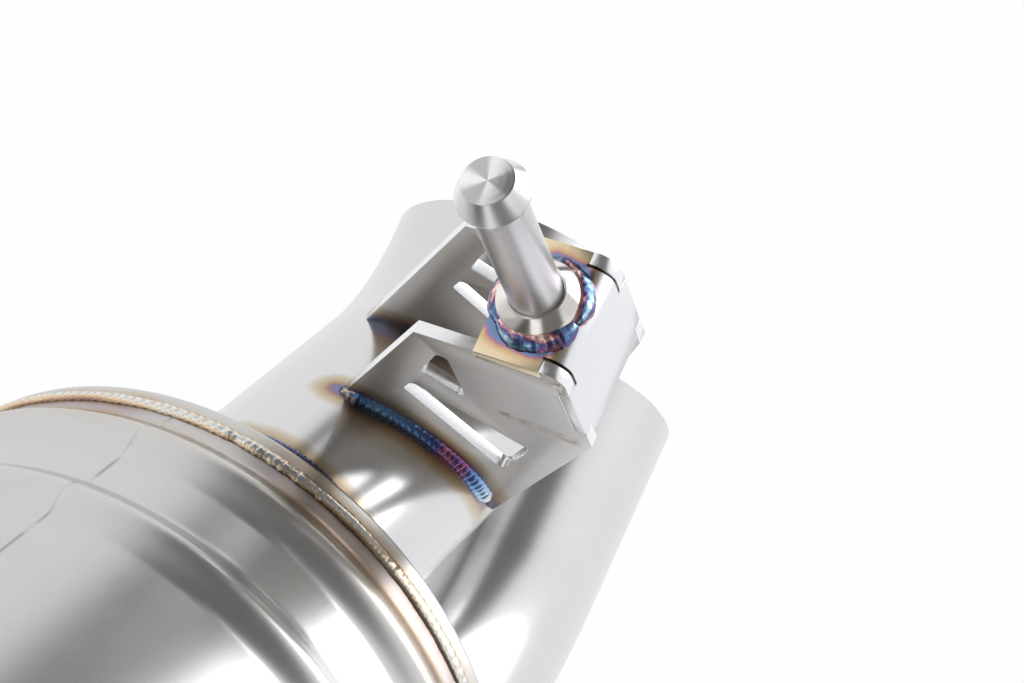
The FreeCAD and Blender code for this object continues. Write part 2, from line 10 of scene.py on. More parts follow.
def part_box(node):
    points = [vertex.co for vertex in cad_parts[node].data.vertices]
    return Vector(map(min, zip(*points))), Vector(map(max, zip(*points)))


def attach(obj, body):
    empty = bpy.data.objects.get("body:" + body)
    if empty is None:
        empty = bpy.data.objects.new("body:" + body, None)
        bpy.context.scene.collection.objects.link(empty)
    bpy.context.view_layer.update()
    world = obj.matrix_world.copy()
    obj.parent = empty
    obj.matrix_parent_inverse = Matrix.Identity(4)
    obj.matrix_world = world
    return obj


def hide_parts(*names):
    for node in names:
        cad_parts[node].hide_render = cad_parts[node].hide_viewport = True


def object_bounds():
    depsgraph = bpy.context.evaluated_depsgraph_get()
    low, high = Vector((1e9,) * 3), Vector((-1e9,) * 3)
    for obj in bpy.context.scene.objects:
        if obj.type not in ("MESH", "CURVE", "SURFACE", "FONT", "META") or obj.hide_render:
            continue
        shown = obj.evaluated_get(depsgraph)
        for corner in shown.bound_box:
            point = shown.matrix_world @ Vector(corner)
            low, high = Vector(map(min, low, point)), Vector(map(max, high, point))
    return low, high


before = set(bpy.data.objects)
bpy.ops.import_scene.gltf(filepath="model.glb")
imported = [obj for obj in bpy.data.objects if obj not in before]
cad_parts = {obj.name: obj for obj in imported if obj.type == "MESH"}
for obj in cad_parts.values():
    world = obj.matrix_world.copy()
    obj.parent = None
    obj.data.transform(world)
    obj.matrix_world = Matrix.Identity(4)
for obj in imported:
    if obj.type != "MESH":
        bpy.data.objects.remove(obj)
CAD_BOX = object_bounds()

bl_info = {
    "name": "Cat-back exhaust finishes",
    "version": (1, 0, 0),
    "blender": (4, 5, 0),
    "location": "View3D > Sidebar > Exhaust",
    "description": "Formed steel, weld beads, heat tint and studio for a cat-back exhaust system",
    "category": "Object",
}

MM = 0.001
# Shadow gap between the folded plate and a side plate's tabs, from the bracket's middle
TAB_GAP = 11.6 * MM
# Marks on the bracket plates, as (reach, rise) from the hanger pin's foot
SCRATCH = ((32 * MM, -9 * MM), (35 * MM, 7 * MM))
NIBBLED_EDGE = ((5 * MM, 10.5 * MM), (24 * MM, 11.5 * MM))
# Bevel on the cut edges of the bracket's plates
EDGE_BREAK = 0.22 * MM
# Facets round the spun and turned pieces
SHELL_FACETS = 280
CAP_FACETS = 240
HOLE_FACETS = 120
PIN_FACETS = 128
UP = Vector((0, 0, 1))
REARWARD = Vector((0, 1, 0))


# Places read from the frame

def corners(node):
    low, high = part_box(node)
    return Vector(low), Vector(high)


def middle(node):
    low, high = corners(node)
    return (low + high) / 2


def extent(node):
    low, high = corners(node)
    return high - low


PIPE_RADIUS = extent("mid_pipe").x / 2
RESONATOR_RADIUS = extent("resonator_shell").x / 2
PIPE_HEIGHT = middle("mid_pipe").z
PIN_FOOT = Vector((corners("hanger_pin_collar")[1].x, middle("hanger_pin").y, middle("hanger_pin").z))
PIN_AXIS = Vector((-1, 0, 0))


# Settings that a user would change

def length_setting(name, about, default):
    return bpy.props.FloatProperty(name=name, description=about, default=default, unit="LENGTH")


def angle_setting(name, about, degrees):
    radians = math.radians(degrees)
    return bpy.props.FloatProperty(name=name, description=about, default=radians, subtype="ANGLE")


def vector_setting(name, about, default, subtype):
    return bpy.props.FloatVectorProperty(
        name=name, description=about, default=default, size=3, subtype=subtype
    )


def colour_setting(name, about, default):
    return vector_setting(name, about, default, "COLOR")


class TubeSizes(bpy.types.PropertyGroup):
    """The two tail pipes"""

    wall: length_setting("Wall", "Thickness of the pipe wall", 1.6 * MM)
    bend_radius: length_setting("Bend radius", "Centre-line radius of the mandrel bends", 95.25 * MM)
    insertion: length_setting("Insertion", "Depth the pipes reach into the muffler caps", 12 * MM)
    left_straight: length_setting("Left straight", "Left tail pipe from cap to bend", 77.5 * MM)
    left_bend: angle_setting("Left bend", "Turn of the left tail pipe", 36.5)
    left_dip: angle_setting("Left dip", "Tilt of the left bend's plane", 7.7)
    right_straight: length_setting("Right straight", "Right tail pipe from cap to bend", 75 * MM)
    right_bend: angle_setting("Right bend", "Turn of the right tail pipe", 37.5)
    right_stub: length_setting("Right stub", "Right tail pipe after its bend", 58 * MM)
    around: bpy.props.IntProperty(
        name="Facets around", description="Facets round a pipe", default=120, min=24, max=256
    )


class MufflerSizes(bpy.types.PropertyGroup):
    """The muffler's shell, its caps and the places of its outlets"""

    yaw: angle_setting("Yaw", "Turn of the muffler from the car's length", 37.5)
    radius: length_setting("Radius", "Outside radius of the plain shell", 86 * MM)
    wall: length_setting("Wall", "Thickness of shell and caps", 1.5 * MM)
    length: length_setting("Length", "Length over both caps", 360 * MM)
    cap_flange: length_setting("Cap flange", "Depth of the rolled cap edge", 7 * MM)
    cap_edge: length_setting("Cap edge", "Radius of the rolled cap edge", 2 * MM)
    bead_height: length_setting("Bead height", "Rise of the swaged beads", 3.2 * MM)
    bead_width: length_setting("Bead width", "Width of a swaged bead at its foot", 13 * MM)
    first_bead: length_setting("First bead", "Cap face to the nearer bead", 22 * MM)
    second_bead: length_setting("Second bead", "Cap face to the farther bead", 50 * MM)
    outlet_side: length_setting("Outlet side", "Outlets to each side of the axis", 49 * MM)
    outlet_up: length_setting("Outlet up", "Outlets above the axis", 16 * MM)


class BeadSizes(bpy.types.PropertyGroup):
    """Ripples of the weld beads"""

    pitch: length_setting("Ripple pitch", "Length of one weld ripple", 1.5 * MM)
    depth: length_setting("Ripple depth", "Height of one weld ripple", 0.38 * MM)
    step: length_setting("Step", "Mesh length along a bead", 0.3 * MM)
    sides: bpy.props.IntProperty(
        name="Sides", description="Facets across a bead", default=20, min=8, max=48
    )


class SteelColours(bpy.types.PropertyGroup):
    """Colours of the bare metal, before heat tint"""

    tube: colour_setting("Tube", "Brushed tube", (0.76, 0.755, 0.755))
    can: colour_setting("Can", "Satin sheet of the muffler", (0.70, 0.695, 0.685))
    plate: colour_setting("Plate", "Mill face of the bracket plates", (0.80, 0.79, 0.77))
    cut: colour_setting("Cut edge", "Laser-cut edges", (0.86, 0.87, 0.88))
    turned: colour_setting("Turned bar", "Hanger pin and its collar", (0.80, 0.80, 0.81))
    flange: colour_setting("Flange", "Thick plate of the inlet flange", (0.50, 0.50, 0.50))
    fastener: colour_setting("Fasteners", "Clamps and the front hanger rod", (0.62, 0.62, 0.63))


class StudioPlaces(bpy.types.PropertyGroup):
    """Camera, lamp and floor"""

    camera_offset: vector_setting(
        "Camera offset", "Camera from the pin's foot", (-0.4964, -0.1999, 0.1996), "TRANSLATION"
    )
    camera_view: vector_setting(
        "Camera view", "Direction the camera looks", (0.8733, 0.3337, -0.355), "DIRECTION"
    )
    camera_right: vector_setting(
        "Camera right", "Direction to the picture's right", (0.2063, 0.4067, 0.89), "DIRECTION"
    )
    lens: bpy.props.FloatProperty(
        name="Lens", description="Focal length in millimetres on a 36 mm sensor", default=94.6
    )
    floor_gap: length_setting("Floor gap", "Room under the lowest point of the part", 6 * MM)
    lamp_width: length_setting("Lamp width", "Width of the round lamp", 1.3)
    lamp_power: bpy.props.FloatProperty(
        name="Lamp power", description="Power of the round lamp", default=9.0, unit="POWER"
    )


def settings():
    return bpy.context.scene.exhaust


class ExhaustSettings(bpy.types.PropertyGroup):
    """All settings of the exhaust system"""

    tube: bpy.props.PointerProperty(type=TubeSizes)
    muffler: bpy.props.PointerProperty(type=MufflerSizes)
    bead: bpy.props.PointerProperty(type=BeadSizes)
    steel: bpy.props.PointerProperty(type=SteelColours)
    studio: bpy.props.PointerProperty(type=StudioPlaces)


# Node trees written as expressions

class Value:
    """A node's output that can stand in a Python expression."""

    def __init__(self, graph, socket):
        self.graph = graph
        self.socket = socket

    def __add__(self, other):
        return self.graph.maths("ADD", self, other)

    __radd__ = __add__

    def __sub__(self, other):
        return self.graph.maths("SUBTRACT", self, other)

    def __rsub__(self, other):
        return self.graph.maths("SUBTRACT", other, self)

    def __mul__(self, other):
        return self.graph.maths("MULTIPLY", self, other)

    __rmul__ = __mul__

    def __truediv__(self, other):
        return self.graph.maths("DIVIDE", self, other)

    def __rtruediv__(self, other):
        return self.graph.maths("DIVIDE", other, self)

    def __pow__(self, other):
        return self.graph.maths("POWER", self, other)


class Graph:
    """One node tree, with a single method that adds any node and the maths built on it."""

    def __init__(self, tree):
        self.tree = tree

    def add(self, kind, setup=None, inputs=None, output=0):
        """Add a node, set it up, feed its sockets and hand back one of its outputs."""
        node = self.tree.nodes.new(kind)
        for name, value in (setup or {}).items():
            if name == "stops":
                self._ramp(node, value)
            else:
                setattr(node, name, value)
        for name, value in (inputs or {}).items():
            self.feed(node.inputs[name], value)
        return Value(self, node.outputs[output]) if len(node.outputs) else None

    def feed(self, socket, value):
        if isinstance(value, Value):
            self.tree.links.new(value.socket, socket)
        else:
            socket.default_value = value

    def _ramp(self, node, stops):
        elements = node.color_ramp.elements
        elements[0].color = (*stops[0][1], 1)
        elements[1].color = (*stops[-1][1], 1)
        for position, colour in stops[1:-1]:
            elements.new(position).color = (*colour, 1)

    def maths(self, operation, *values):
        return self.add("ShaderNodeMath", {"operation": operation}, dict(enumerate(values)))

    def vector(self, operation, *values, output=0):
        return self.add("ShaderNodeVectorMath", {"operation": operation}, dict(enumerate(values)), output)

    def dot(self, first, second):
        return self.vector("DOT_PRODUCT", first, second, output="Value")

    def length(self, value):
        return self.vector("LENGTH", value, output="Value")

    def scaled(self, value, factor):
        return self.add("ShaderNodeVectorMath", {"operation": "SCALE"}, {0: value, "Scale": factor})

    def smooth(self, value, start, end):
        """0 before start, 1 after end, with an eased step between."""
        setup = {"interpolation_type": "SMOOTHSTEP", "clamp": True}
        if start < end:
            return self.add("ShaderNodeMapRange", setup, {"Value": value, "From Min": start, "From Max": end})
        inputs = {"Value": value, "From Min": end, "From Max": start, "To Min": 1.0, "To Max": 0.0}
        return self.add("ShaderNodeMapRange", setup, inputs)

    def mix(self, factor, first, second, blend="MIX"):
        setup = {"data_type": "RGBA", "clamp_factor": True, "blend_type": blend}
        return self.add("ShaderNodeMix", setup, {0: factor, 6: first, 7: second}, output=2)

    def noise(self, vector, scale, detail=2.0, roughness=0.5):
        inputs = {"Vector": vector, "Scale": scale, "Detail": detail, "Roughness": roughness}
        return self.add("ShaderNodeTexNoise", None, inputs, "Fac")

    def stretched_noise(self, vector, stretch, detail=3.0, roughness=0.6):
        """Noise drawn out into lines: the stretch is how many cells a metre holds each way."""
        return self.noise(self.vector("MULTIPLY", vector, stretch), 1.0, detail, roughness)

    def ramp(self, value, stops):
        return self.add("ShaderNodeValToRGB", {"stops": stops}, {"Fac": value})

    def combine(self, x, y, z):
        return self.add("ShaderNodeCombineXYZ", None, {"X": x, "Y": y, "Z": z})

    def part(self, vector, axis):
        return self.add("ShaderNodeSeparateXYZ", None, {"Vector": vector}, axis)

    def attribute(self, label, output="Fac"):
        return self.add("ShaderNodeAttribute", {"attribute_name": label}, None, output)

    def normal(self):
        return self.add("ShaderNodeNewGeometry", None, None, "Normal")

    def ray(self, kind):
        return self.add("ShaderNodeLightPath", None, None, kind)

    def bump(self, height, depth, normal=None, strength=1.0):
        inputs = {"Height": height, "Strength": strength, "Distance": depth}
        if normal is not None:
            inputs["Normal"] = normal
        return self.add("ShaderNodeBump", None, inputs)


def shades(graph, amount, colour, darkest, lightest):
    """A colour between a darker and a lighter share of one steel's colour."""
    dark = (*(channel * darkest for channel in colour), 1.0)
    light = (*(channel * lightest for channel in colour), 1.0)
    return graph.mix(amount, dark, light)


def new_material(name):
    material = bpy.data.materials.new(name)
    material.use_nodes = True
    material.node_tree.nodes.clear()
    return material, Graph(material.node_tree)


def finish_surface(graph, colour, roughness, normal, metallic=1.0):
    inputs = {"Base Color": colour, "Roughness": roughness, "Metallic": metallic, "Normal": normal}
    shader = graph.add("ShaderNodeBsdfPrincipled", None, inputs)
    graph.add("ShaderNodeOutputMaterial", None, {"Surface": shader})


# Temper colours of stainless steel from the weld outward
TEMPER_STOPS = [
    (0.0, (0.30, 0.31, 0.34)),
    (0.10, (0.13, 0.20, 0.42)),
    (0.22, (0.20, 0.13, 0.30)),
    (0.34, (0.42, 0.22, 0.12)),
    (0.52, (0.66, 0.50, 0.30)),
    (0.75, (0.80, 0.70, 0.52)),
    (1.0, (1.0, 1.0, 1.0)),
]
# Straw and rose bloom on sheet beside a long seam
BLOOM_STOPS = [
    (0.0, (0.40, 0.32, 0.30)),
    (0.14, (0.56, 0.44, 0.40)),
    (0.26, (0.70, 0.62, 0.62)),
    (0.38, (0.74, 0.56, 0.42)),
    (0.62, (0.88, 0.76, 0.60)),
    (1.0, (1.0, 1.0, 1.0)),
]
# Cross plate from the ring weld outward: a thin blue and rose fringe, then gold and straw
FOLD_STOPS = [
    (0.0, (0.25, 0.30, 0.38)),
    (0.17, (0.20, 0.32, 0.56)),
    (0.20, (0.50, 0.24, 0.38)),
    (0.235, (0.74, 0.50, 0.28)),
    (0.30, (0.88, 0.72, 0.48)),
    (0.48, (0.96, 0.87, 0.68)),
    (0.80, (0.98, 0.94, 0.84)),
    (1.0, (1.0, 1.0, 1.0)),
]
# Colours that drift along the weld beads of the pipes, of the seams and of the collar
BLUE_BEAD = [
    (0.0, (0.55, 0.66, 0.78)),
    (0.22, (0.32, 0.50, 0.74)),
    (0.42, (0.10, 0.17, 0.40)),
    (0.58, (0.07, 0.08, 0.16)),
    (0.74, (0.24, 0.10, 0.20)),
    (0.88, (0.48, 0.24, 0.12)),
    (1.0, (0.76, 0.60, 0.38)),
]
# Foot bead of the near plate, from its rear end at the tube's crown to its front tip
FOOT_BEAD = [
    (0.0, (0.60, 0.50, 0.52)),
    (0.04, (0.82, 0.78, 0.72)),
    (0.10, (0.58, 0.72, 0.86)),
    (0.20, (0.28, 0.48, 0.82)),
    (0.29, (0.14, 0.22, 0.56)),
    (0.36, (0.30, 0.10, 0.22)),
    (0.42, (0.18, 0.09, 0.26)),
    (0.50, (0.34, 0.11, 0.18)),
    (0.56, (0.09, 0.11, 0.30)),
    (0.68, (0.12, 0.27, 0.52)),
    (0.84, (0.18, 0.36, 0.60)),
    (0.92, (0.05, 0.09, 0.22)),
    (0.96, (0.66, 0.56, 0.42)),
    (1.0, (0.12, 0.12, 0.22)),
]
GOLD_BEAD = [
    (0.0, (0.30, 0.38, 0.50)),
    (0.14, (0.62, 0.66, 0.68)),
    (0.34, (0.80, 0.76, 0.68)),
    (0.52, (0.80, 0.62, 0.42)),
    (0.66, (0.62, 0.40, 0.26)),
    (0.80, (0.48, 0.26, 0.24)),
    (1.0, (0.28, 0.24, 0.34)),
]
RAINBOW_BEAD = [
    (0.0, (0.88, 0.90, 0.90)),
    (0.16, (0.46, 0.66, 0.78)),
    (0.30, (0.08, 0.19, 0.36)),
    (0.44, (0.14, 0.08, 0.20)),
    (0.56, (0.66, 0.34, 0.36)),
    (0.70, (0.90, 0.66, 0.58)),
    (0.86, (0.94, 0.82, 0.62)),
    (1.0, (0.60, 0.36, 0.20)),
]
# Single tones: the broken seam, marks on the plates, gaps beside the tabs, the flap, the pin's foot
SEAM_SHADOW = (0.2, 0.19, 0.18, 1)
MARK_SHADOW = (0.52, 0.46, 0.43, 1)
JOINT_SHADOW = (0.02, 0.018, 0.016, 1)
PLAIN_FLAP = (0.80, 0.81, 0.83, 1)
STRAW_TINT = (0.95, 0.86, 0.70, 1)
# The studio: white for the camera, then its paper, room and brighter patch as the steel mirrors them
WHITE = (1, 1, 1, 1)
WHITE_PAPER = (1.0, 1.0, 1.01, 1)
HALF_LIT_PAPER = (0.5, 0.495, 0.49, 1)
WHITE_ROOM = (1.0, 1.0, 1.02, 1)
BRIGHT_PATCH = (1.5, 1.5, 1.51, 1)
DIM_ROOM = (0.17, 0.165, 0.16, 1)


def object_point(graph):
    return graph.add("ShaderNodeTexCoord", None, None, "Object")


def surface_uv(graph):
    """Surface map in metres: along and round a rolled piece, or across a pressed cap."""
    return graph.add("ShaderNodeUVMap", {"uv_map": "surface"})


def tempered(graph, colour, distance, reach, strength, point, stops=TEMPER_STOPS):
    """Colour the steel by how hot it ran: distance from the weld over the reach of the tint."""
    wobble = graph.noise(point, 90.0, 3.0) - 0.5
    heat = graph.maths("MAXIMUM", distance / reach + wobble * 0.35, 0.0)
    return graph.mix(strength, colour, graph.ramp(heat, stops), "MULTIPLY")


def tilted(graph, normal, direction, amount):
    """Lean a normal along a direction, as a fine line in the metal does."""
    return graph.vector("NORMALIZE", graph.vector("ADD", normal, graph.scaled(direction, amount)))


def dented(graph, point, scale, depth, normal=None):
    """Shallow waviness of formed sheet, or at a high scale the fine pits of a mill face."""
    return graph.bump(graph.noise(point, scale), depth, normal)


def from_axis(graph, point, origin, axis):
    """How far along an axis a point lies, and its offset square to that axis."""
    offset = graph.vector("SUBTRACT", point, tuple(origin))
    along = graph.dot(offset, tuple(axis))
    return along, graph.vector("SUBTRACT", offset, graph.scaled(tuple(axis), along))


def tube_steel(name, colour):
    """Polished tube with fine lines round it and temper colours by its welds."""
    material, graph = new_material(name)
    point = object_point(graph)
    lines_place = graph.vector("MULTIPLY", surface_uv(graph), (5200.0, 60.0, 1.0))
    grain = graph.noise(lines_place, 1.0, 3.0, 0.6)
    cloud = graph.noise(point, 38.0, 4.0, 0.6)
    base = shades(graph, grain * 0.35 + cloud * 0.3, colour, 0.86, 1.1)
    tinted = tempered(graph, base, graph.attribute("weld_distance"), 8 * MM, 0.85, point)
    lines = graph.noise(lines_place, 1.0, 2.0, 0.7) - 0.5
    lined = tilted(graph, graph.normal(), graph.attribute("lengthwise", "Vector"), lines * 0.05)
    normal = dented(graph, point, 14.0, 0.35 * MM, lined)
    finish_surface(graph, tinted, 0.17 + grain * 0.06 + cloud * 0.06, normal)
    return material


def can_steel(name, colour, reach, seam_place=None):
    """Satin sheet of the muffler, rolled, with a faint lengthwise seam and straw tint at its welds."""
    material, graph = new_material(name)
    point = object_point(graph)
    uv = surface_uv(graph)
    grain = graph.stretched_noise(uv, (70.0, 3600.0, 1.0))
    cloud = graph.noise(point, 16.0, 5.0, 0.62)
    base = shades(graph, grain * 0.3 + cloud * 0.45, colour, 0.8, 1.12)
    patches = graph.smooth(graph.noise(point, 14.0), 0.3, 0.52)
    distance = graph.attribute("weld_distance")
    tinted = tempered(graph, base, distance, reach, patches * 0.95, point, BLOOM_STOPS)
    normal = dented(graph, point, 9.0, 2.2 * MM)
    if seam_place is not None:
        off_seam = graph.maths("ABSOLUTE", graph.part(uv, "Y") - seam_place)
        sheet = graph.smooth(off_seam, 0.1 * MM, 0.7 * MM)
        normal = graph.bump(sheet, 0.2 * MM, normal, 0.4)
        broken = graph.smooth(graph.noise(point, 120.0), 0.35, 0.6)
        tinted = graph.mix((1 - sheet) * broken * 0.55, tinted, SEAM_SHADOW)
    finish_surface(graph, tinted, 0.2 + grain * 0.08 + cloud * 0.12, normal)
    return material


def streak(graph, reach, rise, start, end, half_width):
    """1 along a line between two (reach, rise) places on a plate, fading to 0 at its half width."""
    length = math.dist(start, end)
    across = ((end[0] - start[0]) / length, (end[1] - start[1]) / length)
    travel = (reach - start[0]) * across[0] + (rise - start[1]) * across[1]
    travel = graph.maths("MINIMUM", graph.maths("MAXIMUM", travel, 0.0), length)
    off_reach = reach - start[0] - travel * across[0]
    off_rise = rise - start[1] - travel * across[1]
    distance = graph.maths("SQRT", off_reach * off_reach + off_rise * off_rise)
    return graph.smooth(distance, half_width, half_width * 0.2)


def handling_marks(graph, point):
    """Mask of a scratch across the plate and of the nibbled edge beside the flap."""
    place = graph.vector("SUBTRACT", point, tuple(PIN_FOOT))
    reach = graph.part(place, "X")
    rise = graph.part(place, "Z")
    scored = graph.noise(graph.combine(reach * 1500.0, rise * 260.0, 0.0), 1.0, 3.0)
    nibbled = graph.noise(graph.combine(reach * 420.0, rise * 900.0, 3.0), 1.0, 3.0)
    scratch = streak(graph, reach, rise, *SCRATCH, 2.6 * MM) * graph.smooth(scored, 0.46, 0.58)
    edge = streak(graph, reach, rise, *NIBBLED_EDGE, 3.4 * MM) * graph.smooth(nibbled, 0.45, 0.6)
    return graph.maths("MAXIMUM", scratch, edge)


def plate_steel(name, colour, tube_point, tube_axis, face=True):
    """Mill-finished plate: sooty blue and brown by its foot weld, brushed along its length."""
    material, graph = new_material(name)
    point = object_point(graph)
    _, off_tube = from_axis(graph, point, tube_point, tube_axis)
    to_tube = graph.maths("MAXIMUM", graph.length(off_tube) - PIPE_RADIUS, 0.0)
    grain = graph.stretched_noise(point, (900.0, 300.0, 160.0))
    cloud = graph.noise(point, 60.0, 4.0, 0.6)
    base = shades(graph, grain * 0.4 + cloud * 0.4, colour, 0.78 if face else 0.95, 1.12)
    tinted = tempered(graph, base, to_tube, 9 * MM, 0.75 if face else 0.5, point)
    normal = dented(graph, point, 500.0, 0.03 * MM)
    if face:
        marks = handling_marks(graph, point)
        tinted = graph.mix(marks * 0.85, tinted, MARK_SHADOW, "MULTIPLY")
        normal = graph.bump(marks, 0.3 * MM, normal)
    rough = 0.38 + grain * 0.12 if face else 0.22 + grain * 0.1
    finish_surface(graph, tinted, rough, normal)
    return material


def fold_steel(name, colour, pin_point):
    """Cross plate: gold all over its top round the pin's weld, plain on the flap, with painted shade in the
    gaps beside the tabs.
    """
    material, graph = new_material(name)
    point = object_point(graph)
    offset = graph.vector("SUBTRACT", point, tuple(pin_point))
    depth, inset, height = [graph.part(offset, axis) for axis in "XYZ"]
    wobble = graph.noise(point, 160.0, 3.0) - 0.5
    ring = graph.length(offset) + wobble * 4 * MM
    flap = graph.smooth(height, 8 * MM, 11 * MM)
    tint = graph.ramp((ring - 9 * MM) / (18 * MM) + flap, FOLD_STOPS)
    # Painted shade in the gaps between the folded plate and the side plates' tabs
    beside_tab = graph.maths("ABSOLUTE", graph.maths("ABSOLUTE", inset) - TAB_GAP)
    tab_gap_shade = graph.smooth(beside_tab, 0.45 * MM, 0.2 * MM) * graph.smooth(height, 5.4 * MM, 6.0 * MM)
    tab_gap_shade = tab_gap_shade * graph.smooth(depth, 9.5 * MM, 8.5 * MM)
    grain = graph.stretched_noise(point, (500.0, 900.0, 200.0))
    tinted = graph.mix(1.0, shades(graph, grain, colour, 1.1, 1.22), tint, "MULTIPLY")
    tinted = graph.mix(flap, tinted, PLAIN_FLAP)
    tinted = graph.mix(tab_gap_shade, tinted, JOINT_SHADOW)
    normal = dented(graph, point, 420.0, 0.03 * MM)
    finish_surface(graph, tinted, 0.24 + grain * 0.1, normal)
    return material


def turned_steel(name, colour, axis_point, axis, roughness, grooves=6000.0):
    """Lathe-turned bar: concentric lines on faces, lines round the shaft, and a painted reflection in spokes
    on the faces.
    """
    material, graph = new_material(name)
    station, flat = from_axis(graph, object_point(graph), axis_point, axis)
    radial = graph.vector("NORMALIZE", flat)
    normal = graph.normal()
    facing = graph.maths("ABSOLUTE", graph.dot(normal, tuple(axis)))
    groove_place = graph.combine(station * grooves, graph.length(flat) * grooves, 0.0)
    lines = graph.noise(groove_place, 1.0, 2.0, 0.8) - 0.5
    across_lines = graph.vector("ADD", graph.scaled(radial, facing), graph.scaled(tuple(axis), 1 - facing))
    lined = tilted(graph, normal, across_lines, lines * 0.34)
    # Painted reflection: the base colour is lightened and darkened in spokes round the axis, as a turned face
    # mirrors the room.
    turn = graph.maths("ARCTAN2", graph.dot(radial, tuple(UP)), graph.dot(radial, tuple(REARWARD)))
    spokes = graph.maths("SINE", turn * 3.0 + 0.6) + graph.maths("SINE", turn * 2.0 + 1.9) * 0.35
    painted_reflection = (graph.smooth(spokes, -0.6, 0.6) - 0.62) * 0.55 * facing + 1.0
    base = graph.scaled(shades(graph, lines + 0.5, colour, 0.9, 1.08), painted_reflection)
    near_foot = graph.smooth(station, 9 * MM, 2 * MM)
    straw = graph.mix(near_foot * 0.6, base, STRAW_TINT, "MULTIPLY")
    finish_surface(graph, straw, roughness, lined)
    return material


def bead_steel(name, stops, tone=1.0, scatter=0.5, in_order=False, root_shade=0.55, drift_scale=55.0):
    """Weld bead with painted shade in its ripple roots and at its toes; its colours drift, or run in order
    along it.
    """
    material, graph = new_material(name)
    point = object_point(graph)
    along, across, crest = [graph.attribute(label) for label in ("along", "across", "crest")]
    drift = graph.noise(graph.combine(along * drift_scale, across * 0.8, 0.0), 1.0, 3.0, 0.6)
    drift = (drift - 0.5) * 1.5 + 0.5
    speck = graph.noise(point, 700.0) - 0.5
    toe = graph.maths("ABSOLUTE", across)
    if in_order:
        place = graph.attribute("portion") + (drift - 0.5) * 0.14 + speck * 0.05
    else:
        place = drift + speck * 0.12 + toe * scatter - 0.25
    # Painted shade: darker in the ripple roots, by the crest, and toward the bead's toes
    shade = (crest * root_shade + 1.1 - root_shade) * tone * (1 - graph.smooth(toe, 0.75, 1.0) * 0.55)
    colour = graph.scaled(graph.ramp(place, stops), shade)
    normal = graph.bump(graph.noise(point, 2600.0), 0.1 * MM, strength=0.25)
    finish_surface(graph, colour, 0.17 + (1 - crest) * 0.14, normal)
    return material


def plain_steel(name, colour, roughness, lines=(300.0, 300.0, 300.0)):
    """Stock steel for the flange, clamps, hanger rod, resonator and the pipes and cores in front."""
    material, graph = new_material(name)
    point = object_point(graph)
    grain = graph.stretched_noise(point, lines, 4.0)
    cloud = graph.noise(point, 30.0, 4.0)
    base = shades(graph, grain * 0.5 + cloud * 0.4, colour, 0.75, 1.12)
    finish_surface(graph, base, roughness + grain * 0.1, dented(graph, point, 600.0, 0.03 * MM))
    return material


def fibre_packing(name):
    """Glass fibre wound round the perforated cores."""
    material, graph = new_material(name)
    strands = graph.stretched_noise(object_point(graph), (400.0, 60.0, 400.0), 5.0, 0.7)
    base = graph.mix(strands, (0.72, 0.66, 0.50, 1), (0.92, 0.90, 0.82, 1))
    finish_surface(graph, base, 0.9, graph.bump(strands, MM, strength=0.8), 0.0)
    return material


# Meshes

def finished_object(name, mesh, body, slot, *nodes):
    """Put a mesh in the scene, let it ride on its body and stand for its nodes; the slot argument is not
    used.
    """
    piece = bpy.data.objects.new(name, mesh)
    bpy.context.scene.collection.objects.link(piece)
    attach(piece, body)
    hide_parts(*nodes)
    return piece


def repaint(node, material):
    """Give a piece that keeps its own shape another finish."""
    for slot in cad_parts[node].material_slots:
        slot.material = material


def mesh_from_rings(name, rings, maps, lengthwise):
    """Skin a loop of rings into one closed mesh with a surface map in metres and its lengthwise direction."""
    count = len(rings[0])
    vertices = [point for ring in rings for point in ring]
    faces = []
    face_maps = []
    total = len(rings)
    for i in range(total):
        following = (i + 1) % total
        here = i * count
        there = following * count
        u0, v0 = maps[i]
        u1, v1 = maps[following] if following else maps[i]
        for j in range(count):
            beside = (j + 1) % count
            faces.append((here + j, here + beside, there + beside, there + j))
            turn0 = j / count
            turn1 = (j + 1) / count
            face_maps.append(((u0, turn0 * v0), (u0, turn1 * v0), (u1, turn1 * v1), (u1, turn0 * v1)))
    mesh = bpy.data.meshes.new(name)
    mesh.from_pydata(vertices, [], faces)
    layer = mesh.uv_layers.new(name="surface")
    for polygon, corners_map in zip(mesh.polygons, face_maps):
        for loop, place in zip(polygon.loop_indices, corners_map):
            layer.data[loop].uv = place
    attribute = mesh.attributes.new("lengthwise", "FLOAT_VECTOR", "POINT")
    flat = [component for direction in lengthwise for _ in range(count) for component in direction]
    attribute.data.foreach_set("vector", flat)
    return mesh


def shade_smooth(mesh, sharp_degrees=35):
    """Smooth every face but keep real corners sharp."""
    mesh.polygons.foreach_set("use_smooth", [True] * len(mesh.polygons))
    mesh.set_sharp_from_angle(angle=math.radians(sharp_degrees))
    return mesh


def settle_mesh(mesh):
    """Merge doubles, point the faces outward and keep real corners sharp."""
    working = bmesh.new()
    working.from_mesh(mesh)
    bmesh.ops.remove_doubles(working, verts=working.verts, dist=1e-7)
    bmesh.ops.recalc_face_normals(working, faces=working.faces)
    working.to_mesh(mesh)
    working.free()
    return shade_smooth(mesh)


def perpendicular_pair(axis):
    """Two unit vectors across an axis; the first lies as level as it can."""
    first = UP.cross(axis)
    if first.length < 0.01:
        first = REARWARD.cross(axis)
    first.normalize()
    return first, axis.cross(first).normalized()


def circle(centre, first, second, radius, count):
    """Points round a circle that starts on the first direction and turns toward the second."""
    angles = [2 * math.pi * step / count for step in range(count)]
    return [centre + (first * math.cos(angle) + second * math.sin(angle)) * radius for angle in angles]


